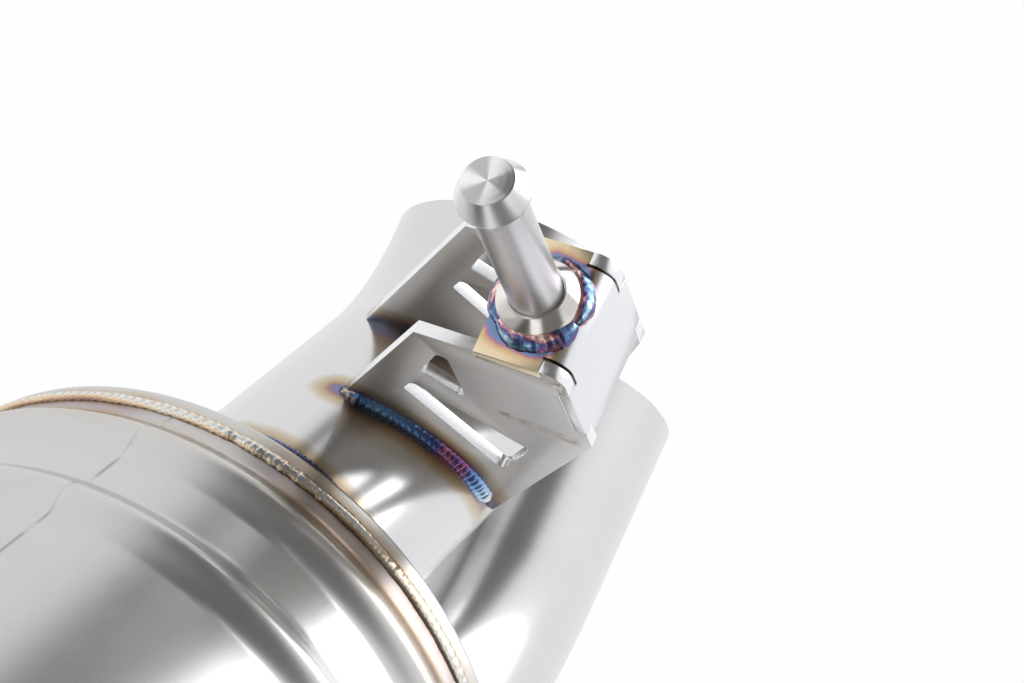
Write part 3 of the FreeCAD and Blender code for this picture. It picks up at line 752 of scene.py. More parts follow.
def lathe(name, profile, origin, axis, steps, reference=0.1):
    """Turn a closed outline of (radius, station) points; its map is as wide as the girth at the reference."""
    first, second = perpendicular_pair(axis)
    rings = []
    maps = []
    travelled = 0.0
    for i, (radius, station) in enumerate(profile):
        if i:
            travelled += math.dist(profile[i - 1], profile[i])
        rings.append(circle(origin + axis * station, first, second, radius, steps))
        maps.append((travelled, 2 * math.pi * reference))
    return settle_mesh(mesh_from_rings(name, rings, maps, [axis] * len(profile)))


class PipeRun:
    """Centre line of a bent pipe as close-set stations."""

    def __init__(self, start, direction):
        self.point = Vector(start)
        self.direction = Vector(direction).normalized()
        self.stations = [(self.point.copy(), self.direction.copy())]

    def straight(self, length, step=4 * MM):
        count = max(1, round(length / step))
        for i in range(1, count + 1):
            self.stations.append((self.point + self.direction * (length * i / count), self.direction.copy()))
        self.point = self.point + self.direction * length
        return self

    def bend(self, angle, radius, axis=UP, step=1.6 * MM):
        axis = Vector(axis)
        side = axis.cross(self.direction) * (1 if angle > 0 else -1)
        centre = self.point + side * radius
        arm = self.point - centre
        count = max(6, round(abs(angle) * radius / step))
        heading = self.direction.copy()
        for i in range(1, count + 1):
            turn = Matrix.Rotation(angle * i / count, 3, axis)
            self.stations.append((centre + turn @ arm, turn @ heading))
        self.point, self.direction = self.stations[-1][0].copy(), self.stations[-1][1].copy()
        return self


def pipe_mesh(name, run, outer, wall, across):
    """Sweep a walled pipe along a run; across is a direction square to every bend."""
    count = settings().tube.around
    edge = 0.25 * MM
    inner = outer - wall
    stations = run.stations
    travelled = [0.0]
    for (before, _), (after, _) in zip(stations, stations[1:]):
        travelled.append(travelled[-1] + (after - before).length)
    rings = []
    maps = []
    headings = []

    def lay(index, radius, shift=0.0):
        point, direction = stations[index]
        first = across.cross(direction).normalized()
        rings.append(circle(point + direction * shift, first, direction.cross(first), radius, count))
        maps.append((travelled[index] + shift, 2 * math.pi * outer))
        headings.append(direction)

    last = len(stations) - 1
    lay(0, outer - edge)
    lay(0, outer, edge)
    for i in range(1, last):
        lay(i, outer)
    lay(last, outer, -edge)
    lay(last, outer - edge)
    lay(last, inner + edge)
    lay(last, inner, -edge)
    for i in range(last - 1, 0, -1):
        lay(i, inner)
    lay(0, inner, edge)
    lay(0, inner + edge)
    return settle_mesh(mesh_from_rings(name, rings, maps, headings))


def copied_mesh(node, name):
    """Merge a node's triangles and break its edges with a small bevel."""
    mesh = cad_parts[node].data.copy()
    mesh.name = name
    working = bmesh.new()
    working.from_mesh(mesh)
    bmesh.ops.remove_doubles(working, verts=working.verts, dist=1e-6)
    bmesh.ops.dissolve_limit(
        working, angle_limit=math.radians(1.0), verts=working.verts, edges=working.edges
    )
    working.to_mesh(mesh)
    working.free()
    piece = bpy.data.objects.new(name, mesh)
    bpy.context.scene.collection.objects.link(piece)
    modifier = piece.modifiers.new("edges", "BEVEL")
    modifier.width = EDGE_BREAK
    modifier.segments = 2
    modifier.limit_method = "ANGLE"
    modifier.angle_limit = math.radians(30)
    return shade_smooth(baked_mesh(piece, name), 32)


def baked_mesh(piece, name):
    """Turn an object with live modifiers into a plain mesh and remove the object."""
    evaluated = piece.evaluated_get(bpy.context.evaluated_depsgraph_get())
    result = bpy.data.meshes.new_from_object(evaluated)
    bpy.data.objects.remove(piece)
    result.name = name
    return result


# The layout of the rear section

def muffler_axis():
    yaw = settings().muffler.yaw
    return Vector((math.sin(yaw), math.cos(yaw), 0))


def cap_face(node, outward):
    return middle(node) + outward * settings().muffler.cap_flange / 2


def outlets():
    """Centres of the left and right outlet holes on the rear cap's face."""
    sizes = settings().muffler
    axis = muffler_axis()
    side = UP.cross(axis)
    face = cap_face("muffler_rear_cap", axis)
    lift = UP * sizes.outlet_up
    return face + side * sizes.outlet_side + lift, face - side * sizes.outlet_side + lift


def left_bend_axis():
    return Matrix.Rotation(-settings().tube.left_dip, 3, muffler_axis()) @ UP


def left_run():
    sizes = settings().tube
    axis = muffler_axis()
    run = PipeRun(outlets()[0] - axis * sizes.insertion, axis)
    run.straight(sizes.insertion + sizes.left_straight, 2 * MM)
    return run.bend(sizes.left_bend, sizes.bend_radius, left_bend_axis())


def right_run():
    sizes = settings().tube
    axis = muffler_axis()
    run = PipeRun(outlets()[1] - axis * sizes.insertion, axis)
    run.straight(sizes.insertion + sizes.right_straight, 3 * MM)
    run.bend(sizes.right_bend, sizes.bend_radius)
    return run.straight(sizes.right_stub, 3 * MM)


# Weld paths: each gives its points with their outward directions, and whether it closes on itself

def ring_path(centre, axis, radius, lean, start=0.0, turn=2 * math.pi, count=240):
    """A ring or an arc of weld; lean tips the outward direction from radial toward the axis."""
    first, second = perpendicular_pair(axis)
    path = []
    closed = abs(turn - 2 * math.pi) < 1e-6
    for i in range(count):
        angle = start + turn * i / (count if closed else count - 1)
        radial = first * math.cos(angle) + second * math.sin(angle)
        outward = (radial * math.cos(lean) + axis * math.sin(lean)).normalized()
        path.append((centre + radial * radius, outward))
    return path, closed


def saddle_path(face_y, outward_y, start_angle, end_angle, count=90):
    """The ellipse where a side plate's outer face meets the left tail pipe."""
    sizes = settings().tube
    axis = muffler_axis()
    outlet = outlets()[0]
    bend_start = outlet + axis * sizes.left_straight
    reach = (face_y - outlet.y) / axis.y
    centre = outlet + axis * reach
    # Past the start of its bend the pipe's middle has moved aside.
    beyond = max(0.0, (centre - bend_start).dot(axis))
    centre.x -= beyond**2 / (2 * sizes.bend_radius) / axis.y
    major = PIPE_RADIUS / axis.y
    path = []
    for i in range(count):
        angle = math.radians(start_angle + (end_angle - start_angle) * i / (count - 1))
        place = Vector((major * math.cos(angle), 0, PIPE_RADIUS * math.sin(angle)))
        off_tube = Vector((math.cos(angle), 0, math.sin(angle)))
        outward = (off_tube + Vector((0, outward_y, 0))).normalized()
        path.append((centre + place, outward))
    return path, False


def line_path(start, end, outward, count=40):
    return [(start.lerp(end, i / (count - 1)), outward) for i in range(count)], False


def weld_paths():
    """Every weld by its name: body, path, half width and height in millimetres, and kind of bead."""
    sizes = settings().muffler
    axis = muffler_axis()
    front_face = cap_face("muffler_front_cap", -axis)
    rear_face = cap_face("muffler_rear_cap", axis)
    left, right = outlets()
    flange = REARWARD * corners("inlet_flange")[1].y
    level = UP * PIPE_HEIGHT
    front_neck = level + REARWARD * corners("resonator_front_cap")[0].y
    rear_neck = level + REARWARD * corners("resonator_rear_cap")[1].y
    rod = middle("front_hanger_weld")
    half_rod = REARWARD * extent("front_hanger_weld").y / 2 * 0.9
    off_rod = Vector((-0.35, 0, 1)).normalized()
    near_face = corners("bracket_near_plate")[0].y
    far_face = corners("bracket_far_plate")[1].y
    # Degrees round the left tail pipe that a foot's weld covers: 90 is the crown, 180 the left side
    foot_span = (84, 174)
    collar_radius = extent("hanger_pin_collar").z / 2

    def neck_ring(centre, outward):
        return ring_path(centre, outward, PIPE_RADIUS + 0.2 * MM, math.radians(45))

    def resonator_seam(node):
        return ring_path(level + REARWARD * middle(node).y, REARWARD, RESONATOR_RADIUS - 0.7 * MM, 0)

    def muffler_seam(face, inward, sunk):
        return ring_path(face + inward * sizes.cap_flange, axis, sizes.radius - sunk, 0, count=480)

    def collar_arc(start, turn):
        return ring_path(
            PIN_FOOT + PIN_AXIS * 0.7 * MM, PIN_AXIS, collar_radius + 0.3 * MM, math.radians(40),
            math.radians(start), math.radians(turn), 140,
        )

    paths = {
        "inlet_flange_weld": ("front_section", neck_ring(flange, REARWARD), 2.6, 2.2, "gold"),
        "front_hanger_weld": (
            "front_section", line_path(rod - half_rod, rod + half_rod, off_rod), 2.2, 1.6, "gold"
        ),
        "resonator_front_weld": ("resonator_section", neck_ring(front_neck, -REARWARD), 2.2, 1.5, "gold"),
        "resonator_rear_weld": ("resonator_section", neck_ring(rear_neck, REARWARD), 2.2, 1.5, "gold"),
    }
    for node in ("resonator_front_seam_weld", "resonator_rear_seam_weld"):
        paths[node] = ("resonator_section", resonator_seam(node), 2.0, 1.5, "gold")
    for node, path, half_width, height, kind in (
        ("muffler_front_seam_weld", muffler_seam(front_face, axis, 0.6 * MM), 2.0, 1.3, "gold"),
        ("muffler_rear_seam_weld", muffler_seam(rear_face, -axis, 0.3 * MM), 2.0, 1.2, "gold"),
        ("muffler_inlet_weld", neck_ring(front_face, -axis), 2.8, 2.2, "blue"),
        ("left_tail_weld", neck_ring(left, axis), 2.4, 1.9, "blue"),
        ("right_tail_weld", neck_ring(right, axis), 2.8, 2.2, "blue"),
        ("bracket_near_weld", saddle_path(near_face, -1, *foot_span), 3.3, 2.4, "foot"),
        ("bracket_far_weld", saddle_path(far_face, 1, *foot_span), 3.0, 2.3, "foot"),
        ("hanger_pin_weld.0", collar_arc(-48, 128), 3.5, 1.7, "rainbow"),
        ("hanger_pin_weld.1", collar_arc(72, 132), 2.9, 1.7, "rainbow"),
        ("hanger_pin_weld.2", collar_arc(196, 124), 3.4, 1.7, "rainbow"),
    ):
        paths[node] = ("rear_section", path, half_width, height, kind)
    return paths


def heat_tree():
    """A search tree over every weld path's points."""
    points = [point for _, (path, _), _, _, _ in weld_paths().values() for point, _ in path]
    tree = KDTree(len(points))
    for index, point in enumerate(points):
        tree.insert(point, index)
    tree.balance()
    return tree


def mark_heat(mesh, tree):
    """Keep each point's distance to the nearest weld on the mesh."""
    attribute = mesh.attributes.new("weld_distance", "FLOAT", "POINT")
    attribute.data.foreach_set("value", [tree.find(vertex.co)[2] for vertex in mesh.vertices])


BEAD_INPUTS = {
    "Half width": "NodeSocketFloat",
    "Height": "NodeSocketFloat",
    "Ripple pitch": "NodeSocketFloat",
    "Ripple depth": "NodeSocketFloat",
    "Step": "NodeSocketFloat",
    "Wander": "NodeSocketFloat",
    "Taper": "NodeSocketFloat",
    "Sides": "NodeSocketInt",
    "Seed": "NodeSocketInt",
    "Material": "NodeSocketMaterial",
}


def bead_tree(name):
    """Geometry nodes that sweep a rippled bead along a line of points that carry their outward direction."""
    tree = bpy.data.node_groups.new(name, "GeometryNodeTree")
    tree.interface.new_socket("Path", in_out="INPUT", socket_type="NodeSocketGeometry")
    for label, kind in BEAD_INPUTS.items():
        tree.interface.new_socket(label, in_out="INPUT", socket_type=kind)
    tree.interface.new_socket("Bead", in_out="OUTPUT", socket_type="NodeSocketGeometry")
    graph = Graph(tree)
    source = tree.nodes.new("NodeGroupInput")

    def given(label):
        return Value(graph, source.outputs[label])

    def stored(geometry, label, value):
        inputs = {"Geometry": geometry, "Name": label, "Value": value}
        return graph.add("GeometryNodeStoreNamedAttribute", {"domain": "POINT", "data_type": "FLOAT"}, inputs)

    def kept(label, kind="FLOAT"):
        return graph.add("GeometryNodeInputNamedAttribute", {"data_type": kind}, {"Name": label})

    line = graph.add("GeometryNodeMeshToCurve", None, {"Mesh": given("Path")})
    spacing = {"Curve": line, "Length": given("Step")}
    line = graph.add("GeometryNodeResampleCurve", {"mode": "LENGTH"}, spacing)
    outward = kept("outward", "FLOAT_VECTOR")
    line = graph.add("GeometryNodeSetCurveNormal", {"mode": "FREE"}, {"Curve": line, "Normal": outward})
    distance = graph.add("GeometryNodeSplineParameter", None, None, "Length")
    factor = graph.add("GeometryNodeSplineParameter", None, None, "Factor")
    line = stored(stored(line, "along", distance), "portion", factor)
    # Open beads start and stop in a rounded tip.
    to_end = graph.maths("MINIMUM", factor, 1 - factor)
    taper = graph.maths("MAXIMUM", given("Taper"), 0.0001)
    rounded = graph.maths("SQRT", graph.maths("MINIMUM", to_end / taper, 1.0))
    least_taper = {0: given("Taper"), 1: 0.0005}
    open_bead = graph.add("FunctionNodeCompare", {"operation": "GREATER_THAN"}, least_taper)
    tip = {"Switch": open_bead, "False": 1.0, "True": rounded}
    tapered = graph.add("GeometryNodeSwitch", {"input_type": "FLOAT"}, tip)
    seed_shift = given("Seed") * 13.7
    swell_place = graph.combine(distance * 160.0, seed_shift, 0.0)
    swell = (graph.noise(swell_place, 1.0) - 0.5) * given("Wander") * 2.0 + 1.0
    unit_circle = {"Resolution": given("Sides"), "Radius": 1.0}
    section = graph.add("GeometryNodeCurvePrimitiveCircle", None, unit_circle)
    section = stored(section, "across", graph.part(graph.add("GeometryNodeInputPosition"), "Y"))
    size = graph.combine(given("Height"), given("Half width"), 1.0)
    section = graph.add("GeometryNodeTransform", None, {"Geometry": section, "Scale": size})
    sweep = {"Curve": line, "Profile Curve": section, "Scale": swell * tapered, "Fill Caps": True}
    mesh = graph.add("GeometryNodeCurveToMesh", None, sweep)
    # Each ripple is a crescent: the phase runs ahead in the middle of the bead.
    along = kept("along")
    across = kept("across")
    jitter = (graph.noise(graph.combine(along * 140.0, seed_shift, 0.0), 1.0) - 0.5) * 1.6
    phase = along / given("Ripple pitch") + across * across * 1.5 + jitter
    crest = graph.maths("SINE", graph.maths("FRACT", phase) ** 0.6 * math.pi)
    mesh = stored(mesh, "crest", crest)
    raised = graph.scaled(graph.add("GeometryNodeInputNormal"), (crest - 0.5) * given("Ripple depth"))
    mesh = graph.add("GeometryNodeSetPosition", None, {"Geometry": mesh, "Offset": raised})
    mesh = graph.add("GeometryNodeRealizeInstances", None, {"Geometry": mesh})
    mesh = graph.add("GeometryNodeSetMaterial", None, {"Geometry": mesh, "Material": given("Material")})
    sink = tree.nodes.new("NodeGroupOutput")
    graph.feed(sink.inputs["Bead"], mesh)
    return tree


def socket_identifier(tree, label):
    for item in tree.interface.items_tree:
        if item.name == label and item.in_out == "INPUT":
            return item.identifier
    raise KeyError(label)


def grow_bead(node, body, path, closed, section, ripples, tree, material, seed):
    """Run the bead tree on one path and keep the result as a plain mesh that stands for its weld's node."""
    name = f"{node}_ripples"
    mesh = bpy.data.meshes.new(f"{node}_path")
    points = [point for point, _ in path]
    edges = [(i, i + 1) for i in range(len(points) - 1)]
    if closed:
        edges.append((len(points) - 1, 0))
    mesh.from_pydata(points, edges, [])
    outward = mesh.attributes.new("outward", "FLOAT_VECTOR", "POINT")
    outward.data.foreach_set("vector", [part for _, direction in path for part in direction])
    carrier = bpy.data.objects.new(f"{node}_carrier", mesh)
    bpy.context.scene.collection.objects.link(carrier)
    modifier = carrier.modifiers.new("bead", "NODES")
    modifier.node_group = tree
    sizes = settings().bead
    length = sum((after - before).length for before, after in zip(points, points[1:]))
    half_width, height = section
    pitch, depth, wander = ripples
    values = {
        "Half width": half_width, "Height": height, "Ripple pitch": pitch, "Ripple depth": depth,
        "Step": sizes.step, "Wander": wander, "Taper": 0.0 if closed else 1.6 * half_width / length,
        "Sides": sizes.sides, "Seed": seed, "Material": material,
    }
    for label, value in values.items():
        modifier[socket_identifier(tree, label)] = value
    result = baked_mesh(carrier, name)
    working = bmesh.new()
    working.from_mesh(result)
    bmesh.ops.recalc_face_normals(working, faces=working.faces)
    working.to_mesh(result)
    working.free()
    result.polygons.foreach_set("use_smooth", [True] * len(result.polygons))
    return finished_object(name, result, body, "weld", node.split(".")[0])


# Operators

class ExhaustPiece:
    bl_options = {"REGISTER"}


class EXHAUST_OT_muffler(ExhaustPiece, bpy.types.Operator):
    """Spin the beaded shell and the pressed caps"""

    bl_idname = "exhaust.muffler"
    bl_label = "Muffler"

    def execute(self, context):
        sizes = settings().muffler
        steel = settings().steel
        axis = muffler_axis()
        front = cap_face("muffler_front_cap", -axis)
        rear = cap_face("muffler_rear_cap", axis)
        tree = heat_tree()
        sheet = can_steel("can_steel", steel.can, 17 * MM, self.seam_place(sizes, axis))
        cap_sheet = can_steel("cap_steel", steel.can, 5 * MM)
        shell = lathe("shell", self.shell_profile(sizes), front, axis, SHELL_FACETS, sizes.radius)
        mark_heat(shell, tree)
        shell.materials.append(sheet)
        finished_object("shell", shell, "rear_section", "can", "muffler_shell")
        for name, face, inward, holes in (
            ("rear_cap", rear, -axis, outlets()),
            ("front_cap", front, axis, (front,)),
        ):
            mesh = self.cap_mesh(name, sizes, face, inward, holes)
            mark_heat(mesh, tree)
            mesh.materials.append(cap_sheet)
            finished_object(name, mesh, "rear_section", "can", f"muffler_{name}")
        return {"FINISHED"}

    def seam_place(self, sizes, axis):
        """Distance round the shell from the lathe's first direction to the seam on its left side."""
        first, second = perpendicular_pair(axis)
        drop = math.radians(-1.0)
        toward = UP.cross(axis) * math.cos(drop) + UP * math.sin(drop)
        angle = math.atan2(toward.dot(second), toward.dot(first)) % (2 * math.pi)
        return angle * sizes.radius

    def shell_profile(self, sizes):
        """Outline of the shell wall with its four swaged beads."""
        from_front = [sizes.first_bead, sizes.second_bead]
        beads = from_front + [sizes.length - place for place in reversed(from_front)]
        fine_step = 0.8 * MM
        coarse_step = 6 * MM
        eased_foot = 1.25
        last = sizes.length - sizes.cap_flange
        stations = []
        here = sizes.cap_flange
        while here < last:
            stations.append(here)
            near_bead = min(abs(here - bead) for bead in beads) < sizes.bead_width
            here += fine_step if near_bead else coarse_step
        stations.append(last)

        def swell(station):
            rise = 0.0
            for bead in beads:
                place = abs(station - bead) / (sizes.bead_width / 2)
                if place < eased_foot:
                    rise += sizes.bead_height * 0.5 * (1 + math.cos(math.pi * place / eased_foot))
            return rise

        outside = [(sizes.radius + swell(s), s) for s in stations]
        inside = [(sizes.radius - sizes.wall + swell(s), s) for s in reversed(stations)]
        return outside + inside

    def cap_mesh(self, name, sizes, face, inward, holes):
        """Pressed cap: a disc with a rolled edge and a flange, and round holes for the pipes."""
        edge = sizes.cap_edge
        edge_steps = 6
        outside = []
        for step in range(edge_steps + 1):
            angle = math.pi / 2 * step / edge_steps
            outside.append((sizes.radius - edge + edge * math.sin(angle), edge - edge * math.cos(angle)))
        outside.append((sizes.radius, sizes.cap_flange))
        inner = sizes.radius - sizes.wall
        inside = [(inner, sizes.cap_flange), (inner, edge + sizes.wall / 2), (inner - edge, sizes.wall)]
        first, second = perpendicular_pair(inward)
        working = bmesh.new()

        def ring(centre, radius, station, count):
            points = circle(centre + inward * station, first, second, radius, count)
            return [working.verts.new(point) for point in points]

        def skin(near, far):
            for j in range(len(near)):
                beside = (j + 1) % len(near)
                working.faces.new((near[j], near[beside], far[beside], far[j]))

        rings = [ring(face, radius, station, CAP_FACETS) for radius, station in outside + inside]
        for near, far in zip(rings, rings[1:]):
            skin(near, far)
        hole_loops = []
        for station, boundary in ((0.0, rings[0]), (sizes.wall, rings[-1])):
            cut = [ring(hole, PIPE_RADIUS, station, HOLE_FACETS) for hole in holes]
            edges = []
            for loop in [boundary] + cut:
                for pair in zip(loop, loop[1:] + loop[:1]):
                    edges.append(working.edges.get(pair) or working.edges.new(pair))
            bmesh.ops.triangle_fill(working, edges=edges, use_beauty=True)
            hole_loops.append(cut)
        for near, far in zip(*hole_loops):
            skin(near, far)
        bmesh.ops.recalc_face_normals(working, faces=working.faces)
        mesh = bpy.data.meshes.new(name)
        working.to_mesh(mesh)
        working.free()
        layer = mesh.uv_layers.new(name="surface")
        for loop in mesh.loops:
            place = mesh.vertices[loop.vertex_index].co - face
            layer.data[loop.index].uv = (place.dot(first), place.dot(second))
        return shade_smooth(mesh)


class EXHAUST_OT_pipes(ExhaustPiece, bpy.types.Operator):
    """Sweep the tail pipes and finish every other pipe"""

    bl_idname = "exhaust.pipes"
    bl_label = "Pipes"

    def execute(self, context):
        steel = settings().steel
        wall = settings().tube.wall
        tree = heat_tree()
        tube = tube_steel("tube_steel", steel.tube)
        for name, run, across in (
            ("left_tail", left_run(), left_bend_axis()),
            ("right_tail", right_run(), UP),
        ):
            mesh = pipe_mesh(name, run, PIPE_RADIUS, wall, across)
            mark_heat(mesh, tree)
            mesh.materials.append(tube)
            finished_object(name, mesh, "rear_section", "pipe", f"{name}_pipe")
        plain = plain_steel("pipe_stock", steel.tube, 0.2, (40.0, 1400.0, 40.0))
        for node in (
            "front_pipe", "mid_pipe", "muffler_inlet_pipe", "resonator_inlet_pipe", "resonator_core",
            "muffler_inlet_core", "muffler_left_core", "muffler_right_core",
        ):
            repaint(node, plain)
        return {"FINISHED"}


class EXHAUST_OT_bracket(ExhaustPiece, bpy.types.Operator):
    """Break the edges of the bracket plates and colour them by their welds"""

    bl_idname = "exhaust.bracket"
    bl_label = "Hanger bracket"

    def execute(self, context):
        steel = settings().steel
        axis = muffler_axis()
        outlet = outlets()[0]
        face = plate_steel("plate_face", steel.plate, outlet, axis)
        cut = plate_steel("plate_cut_edge", steel.cut, outlet, axis, face=False)
        fold = fold_steel("fold_steel", steel.plate, PIN_FOOT)
        for name in ("near", "far"):
            mesh = copied_mesh(f"bracket_{name}_plate", f"{name}_plate")
            mesh.materials.clear()
            mesh.materials.append(face)
            mesh.materials.append(cut)
            for polygon in mesh.polygons:
                broad_side = abs(polygon.normal.y) > 0.6
                polygon.material_index = 0 if broad_side else 1
            finished_object(f"{name}_plate", mesh, "rear_section", "bracket", f"bracket_{name}_plate")
        mesh = copied_mesh("bracket_cross_plate", "folded_plate")
        mesh.materials.clear()
        mesh.materials.append(fold)
        finished_object("folded_plate", mesh, "rear_section", "bracket", "bracket_cross_plate")
        return {"FINISHED"}


class EXHAUST_OT_hanger_pin(ExhaustPiece, bpy.types.Operator):
    """Turn the hanger pin and its collar"""

    bl_idname = "exhaust.hanger_pin"
    bl_label = "Hanger pin"

    def execute(self, context):
        steel = settings().steel
        bar = turned_steel("turned_bar", steel.turned, PIN_FOOT, PIN_AXIS, 0.32)
        polished = turned_steel("turned_collar", steel.turned, PIN_FOOT, PIN_AXIS, 0.14, 2500.0)
        low, high = corners("hanger_pin")
        length = PIN_FOOT.x - low.x
        foot = PIN_FOOT.x - high.x
        head = extent("hanger_pin").z / 2
        shaft = 6 * MM
        chamfer = 5.1 * MM
        undercut = 4.8 * MM
        face_radius = 5.45 * MM
        soft = 0.25 * MM
        profile = [
            (0.0, foot),
            (shaft, foot),
            (shaft, length - chamfer - undercut - soft),
            (shaft + soft, length - chamfer - undercut + soft),
            (head - soft, length - chamfer - soft),
            (head, length - chamfer),
            (head - soft, length - chamfer + soft),
            (face_radius + soft / 2, length - soft / 2),
            (face_radius - soft / 2, length),
            (0.0, length),
        ]
        mesh = lathe("pin", profile, PIN_FOOT, PIN_AXIS, PIN_FACETS)
        mesh.materials.append(bar)
        finished_object("pin", mesh, "rear_section", "turned", "hanger_pin")
        outer = extent("hanger_pin_collar").z / 2
        tall = extent("hanger_pin_collar").x
        bevel = 2.4 * MM
        ring = [
            (shaft, 0.0),
            (outer, 0.0),
            (outer, tall - bevel - soft / 2),
            (outer - soft / 2, tall - bevel + soft / 2),
            (outer - bevel, tall),
            (shaft + soft, tall),
            (shaft, tall - soft),
        ]
        mesh = lathe("collar", ring, PIN_FOOT, PIN_AXIS, PIN_FACETS)
        mesh.materials.append(polished)
        finished_object("collar", mesh, "rear_section", "turned", "hanger_pin_collar")
        return {"FINISHED"}


class EXHAUST_OT_welds(ExhaustPiece, bpy.types.Operator):
    """Grow a rippled bead along every weld"""

    bl_idname = "exhaust.welds"
    bl_label = "Weld beads"

    def execute(self, context):
        sizes = settings().bead
        tree = bead_tree("rippled bead")
        blue = bead_steel("blue_bead", BLUE_BEAD)
        foot = bead_steel("foot_bead", FOOT_BEAD, in_order=True)
        gold = bead_steel("gold_bead", GOLD_BEAD, scatter=0.3, root_shade=0.4, drift_scale=24.0)
        rainbow = bead_steel("rainbow_bead", RAINBOW_BEAD, 1.1, 0.35, root_shade=0.35, drift_scale=110.0)
        # Steel, share of the ripple pitch, share of the ripple depth, wander of the width
        kinds = {
            "blue": (blue, 1.0, 1.0, 0.12),
            "foot": (foot, 1.25, 1.0, 0.12),
            "gold": (gold, 1.5, 0.4, 0.25),
            "rainbow": (rainbow, 1.4, 0.55, 0.3),
        }
        for seed, (node, entry) in enumerate(weld_paths().items()):
            body, (path, closed), half_width, height, kind = entry
            material, pitch_share, depth_share, wander = kinds[kind]
            ripples = (sizes.pitch * pitch_share, sizes.depth * depth_share, wander)
            grow_bead(node, body, path, closed, (half_width * MM, height * MM), ripples, tree, material, seed)
        return {"FINISHED"}


class EXHAUST_OT_hardware(ExhaustPiece, bpy.types.Operator):
    """Finish the flange, resonator, clamps, rods and inner pieces"""

    bl_idname = "exhaust.hardware"
    bl_label = "Flange, resonator and clamps"

    def execute(self, context):
        steel = settings().steel
        flange = plain_steel("flange_plate", steel.flange, 0.32)
        sheet = plain_steel("resonator_sheet", steel.can, 0.24, (60.0, 900.0, 60.0))
        fastener = plain_steel("clamp_steel", steel.fastener, 0.28)
        repaint("inlet_flange", flange)
        repaint("front_hanger_rod", fastener)
        for node in (
            "resonator_shell", "resonator_front_cap", "resonator_rear_cap",
            "muffler_front_baffle", "muffler_rear_baffle",
        ):
            repaint(node, sheet)
        packing = fibre_packing("fibre_packing")
        for node in ("resonator_packing", "muffler_packing"):
            repaint(node, packing)
        for place in ("front", "rear"):
            for piece in ("band", "bolt_block", "nut_block", "bolt", "nut"):
                repaint(f"{place}_clamp_{piece}", fastener)
        return {"FINISHED"}


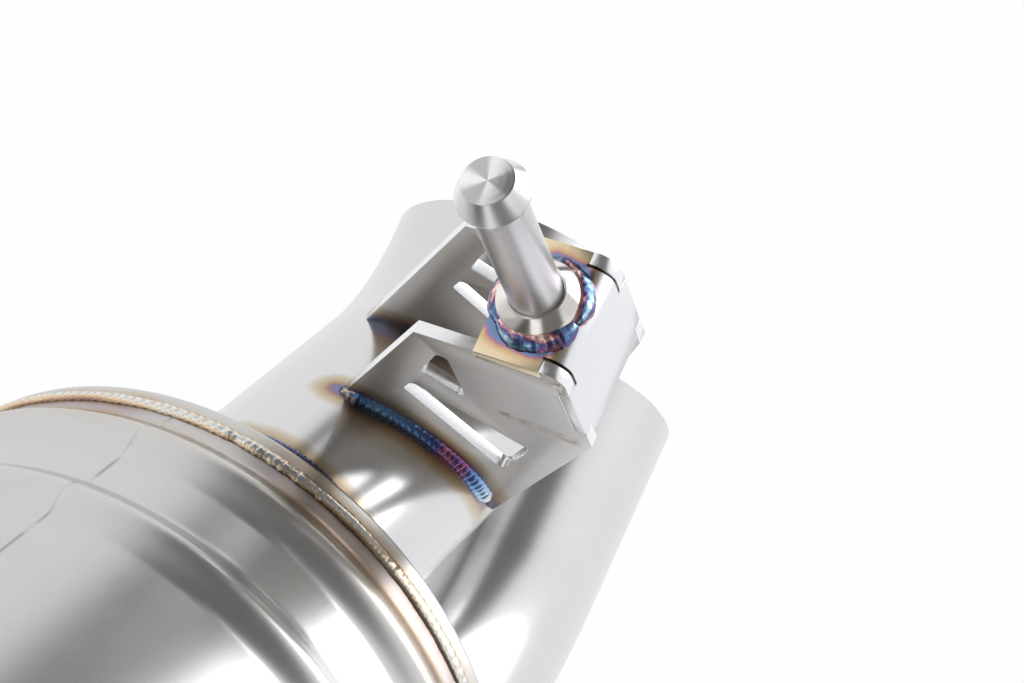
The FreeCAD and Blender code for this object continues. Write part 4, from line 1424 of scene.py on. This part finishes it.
class EXHAUST_OT_stage(bpy.types.Operator):
    """White floor, a soft lamp and the camera"""

    bl_idname = "exhaust.stage"
    bl_label = "Studio"

    def execute(self, context):
        scene = context.scene
        places = settings().studio
        scene.view_settings.view_transform = "Standard"
        view = Vector(places.camera_view).normalized()
        right = Vector(places.camera_right)
        right = (right - view * right.dot(view)).normalized()
        up = right.cross(view)
        eye = PIN_FOOT + Vector(places.camera_offset)
        self.camera(scene, eye, right, up, view, places.lens)
        self.floor(scene, places.floor_gap, eye, view)
        self.world(scene, view, right, up)
        target = middle("muffler_rear_cap")
        lamp_reach = 1.6
        spot = target + (right * 0.86 + up * 0.46 + view * 0.16) * lamp_reach
        self.softbox(scene, spot, target, places.lamp_width, places.lamp_power)
        return {"FINISHED"}

    def camera(self, scene, eye, right, up, view, lens):
        data = bpy.data.cameras.new("camera")
        data.lens = lens
        data.sensor_width = 36.0
        data.clip_start = 0.01
        camera = bpy.data.objects.new("camera", data)
        scene.collection.objects.link(camera)
        turn = Matrix((right, up, -view)).transposed().to_4x4()
        camera.matrix_world = Matrix.Translation(eye) @ turn
        scene.camera = camera

    def floor(self, scene, gap, eye, view):
        """White paper that glows for the camera and for mirrored rays and keeps a soft shadow."""
        level = CAD_BOX[0][2] - gap
        half = 30.0
        mesh = bpy.data.meshes.new("floor")
        square = ((-half, -half), (half, -half), (half, half), (-half, half))
        mesh.from_pydata([(x, y, level) for x, y in square], [], [(0, 1, 2, 3)])
        material, graph = new_material("white_floor")
        camera_ray = graph.ray("Is Camera Ray")
        mirrored_ray = graph.maths("MAXIMUM", graph.ray("Is Glossy Ray"), graph.ray("Is Transmission Ray"))
        # The paper lies under the part; away from it steel mirrors the dim floor of the room.
        onward = Vector((view.x, view.y, 0)).normalized()
        reach = graph.vector("SUBTRACT", object_point(graph), (eye.x, eye.y, 0.0))
        behind_camera = graph.smooth(graph.dot(reach, tuple(onward)), 0.05, -0.4)
        beyond_paper = graph.smooth(graph.dot(reach, tuple(UP.cross(onward))), 0.6, 1.05)
        paper = graph.mix(behind_camera, WHITE_PAPER, HALF_LIT_PAPER)
        mirrored = graph.mix(beyond_paper, paper, DIM_ROOM)
        colour = graph.mix(camera_ray, mirrored, WHITE)
        paint = graph.add("ShaderNodeBsdfDiffuse", None, {"Color": (0.82, 0.82, 0.82, 1)})
        glow = graph.add("ShaderNodeEmission", None, {"Color": colour, "Strength": 1.0})
        glow_share = graph.maths("MAXIMUM", camera_ray, mirrored_ray) * 0.97
        both = graph.add("ShaderNodeMixShader", None, {0: glow_share, 1: paint, 2: glow})
        graph.add("ShaderNodeOutputMaterial", None, {"Surface": both})
        mesh.materials.append(material)
        floor = bpy.data.objects.new("floor", mesh)
        scene.collection.objects.link(floor)

    def world(self, scene, view, right, up):
        """White all round, with the photographer's darker room beside and behind the camera."""
        world = bpy.data.worlds.new("studio")
        world.use_nodes = True
        world.node_tree.nodes.clear()
        graph = Graph(world.node_tree)
        direction = graph.add("ShaderNodeTexCoord", None, None, "Generated")
        ahead = graph.dot(direction, tuple(view))
        across = graph.dot(direction, tuple(right))
        above = graph.dot(direction, tuple(up))
        room = graph.smooth(ahead, 0.235, 0.19)
        room = room * graph.smooth(across, -0.16, 0.04) * graph.smooth(across, 0.78, 0.6)
        # A slanting strip of the room, half as dark, up to the right
        off_strip = graph.maths("ABSOLUTE", graph.maths("ARCTAN2", above, across) - math.radians(46))
        strip = graph.smooth(off_strip, math.radians(6), math.radians(3))
        strip = strip * graph.smooth(ahead, 0.04, 0.12) * graph.smooth(ahead, 0.5, 0.4)
        behind = graph.smooth(ahead, -0.7, -0.92)
        shade = graph.maths("MAXIMUM", graph.maths("MAXIMUM", room, strip * 0.55), behind)
        patch_middle = (right * 0.47 + up * 0.84 + view * 0.27).normalized()
        patch = graph.smooth(graph.dot(direction, tuple(patch_middle)), math.cos(0.42), math.cos(0.2))
        white = graph.mix(patch, WHITE_ROOM, BRIGHT_PATCH)
        lit = graph.mix(shade, white, DIM_ROOM)
        colour = graph.mix(graph.ray("Is Camera Ray"), lit, WHITE)
        background = graph.add("ShaderNodeBackground", None, {"Color": colour, "Strength": 1.0})
        graph.add("ShaderNodeOutputWorld", None, {"Surface": background})
        scene.world = world

    def softbox(self, scene, spot, target, width, power):
        data = bpy.data.lights.new("softbox", "AREA")
        data.shape = "DISK"
        data.size = width
        data.energy = power
        lamp = bpy.data.objects.new("softbox", data)
        scene.collection.objects.link(lamp)
        lamp.location = spot
        lamp.rotation_euler = (target - spot).to_track_quat("-Z", "Y").to_euler()


class EXHAUST_PT_panel(bpy.types.Panel):
    """Buttons for every piece"""

    bl_idname = "EXHAUST_PT_panel"
    bl_label = "Exhaust"
    bl_space_type = "VIEW_3D"
    bl_region_type = "UI"
    bl_category = "Exhaust"

    def draw(self, context):
        for operator in OPERATORS:
            self.layout.operator(operator.bl_idname)
        for group in ("tube", "muffler", "bead", "steel", "studio"):
            box = self.layout.box()
            values = getattr(context.scene.exhaust, group)
            for name in values.bl_rna.properties.keys():
                if name not in ("rna_type", "name"):
                    box.prop(values, name)


OPERATORS = (
    EXHAUST_OT_muffler,
    EXHAUST_OT_pipes,
    EXHAUST_OT_bracket,
    EXHAUST_OT_hanger_pin,
    EXHAUST_OT_welds,
    EXHAUST_OT_hardware,
    EXHAUST_OT_stage,
)
GROUPS = (TubeSizes, MufflerSizes, BeadSizes, SteelColours, StudioPlaces, ExhaustSettings)


def register():
    for group in GROUPS + OPERATORS + (EXHAUST_PT_panel,):
        bpy.utils.register_class(group)
    bpy.types.Scene.exhaust = bpy.props.PointerProperty(type=ExhaustSettings)


def unregister():
    del bpy.types.Scene.exhaust
    for group in reversed(GROUPS + OPERATORS + (EXHAUST_PT_panel,)):
        bpy.utils.unregister_class(group)


def main():
    register()
    bpy.ops.exhaust.muffler()
    bpy.ops.exhaust.pipes()
    bpy.ops.exhaust.bracket()
    bpy.ops.exhaust.hanger_pin()
    bpy.ops.exhaust.welds()
    bpy.ops.exhaust.hardware()
    bpy.ops.exhaust.stage()
    bpy.context.view_layer.update()


if __name__ == "__main__":
    main()
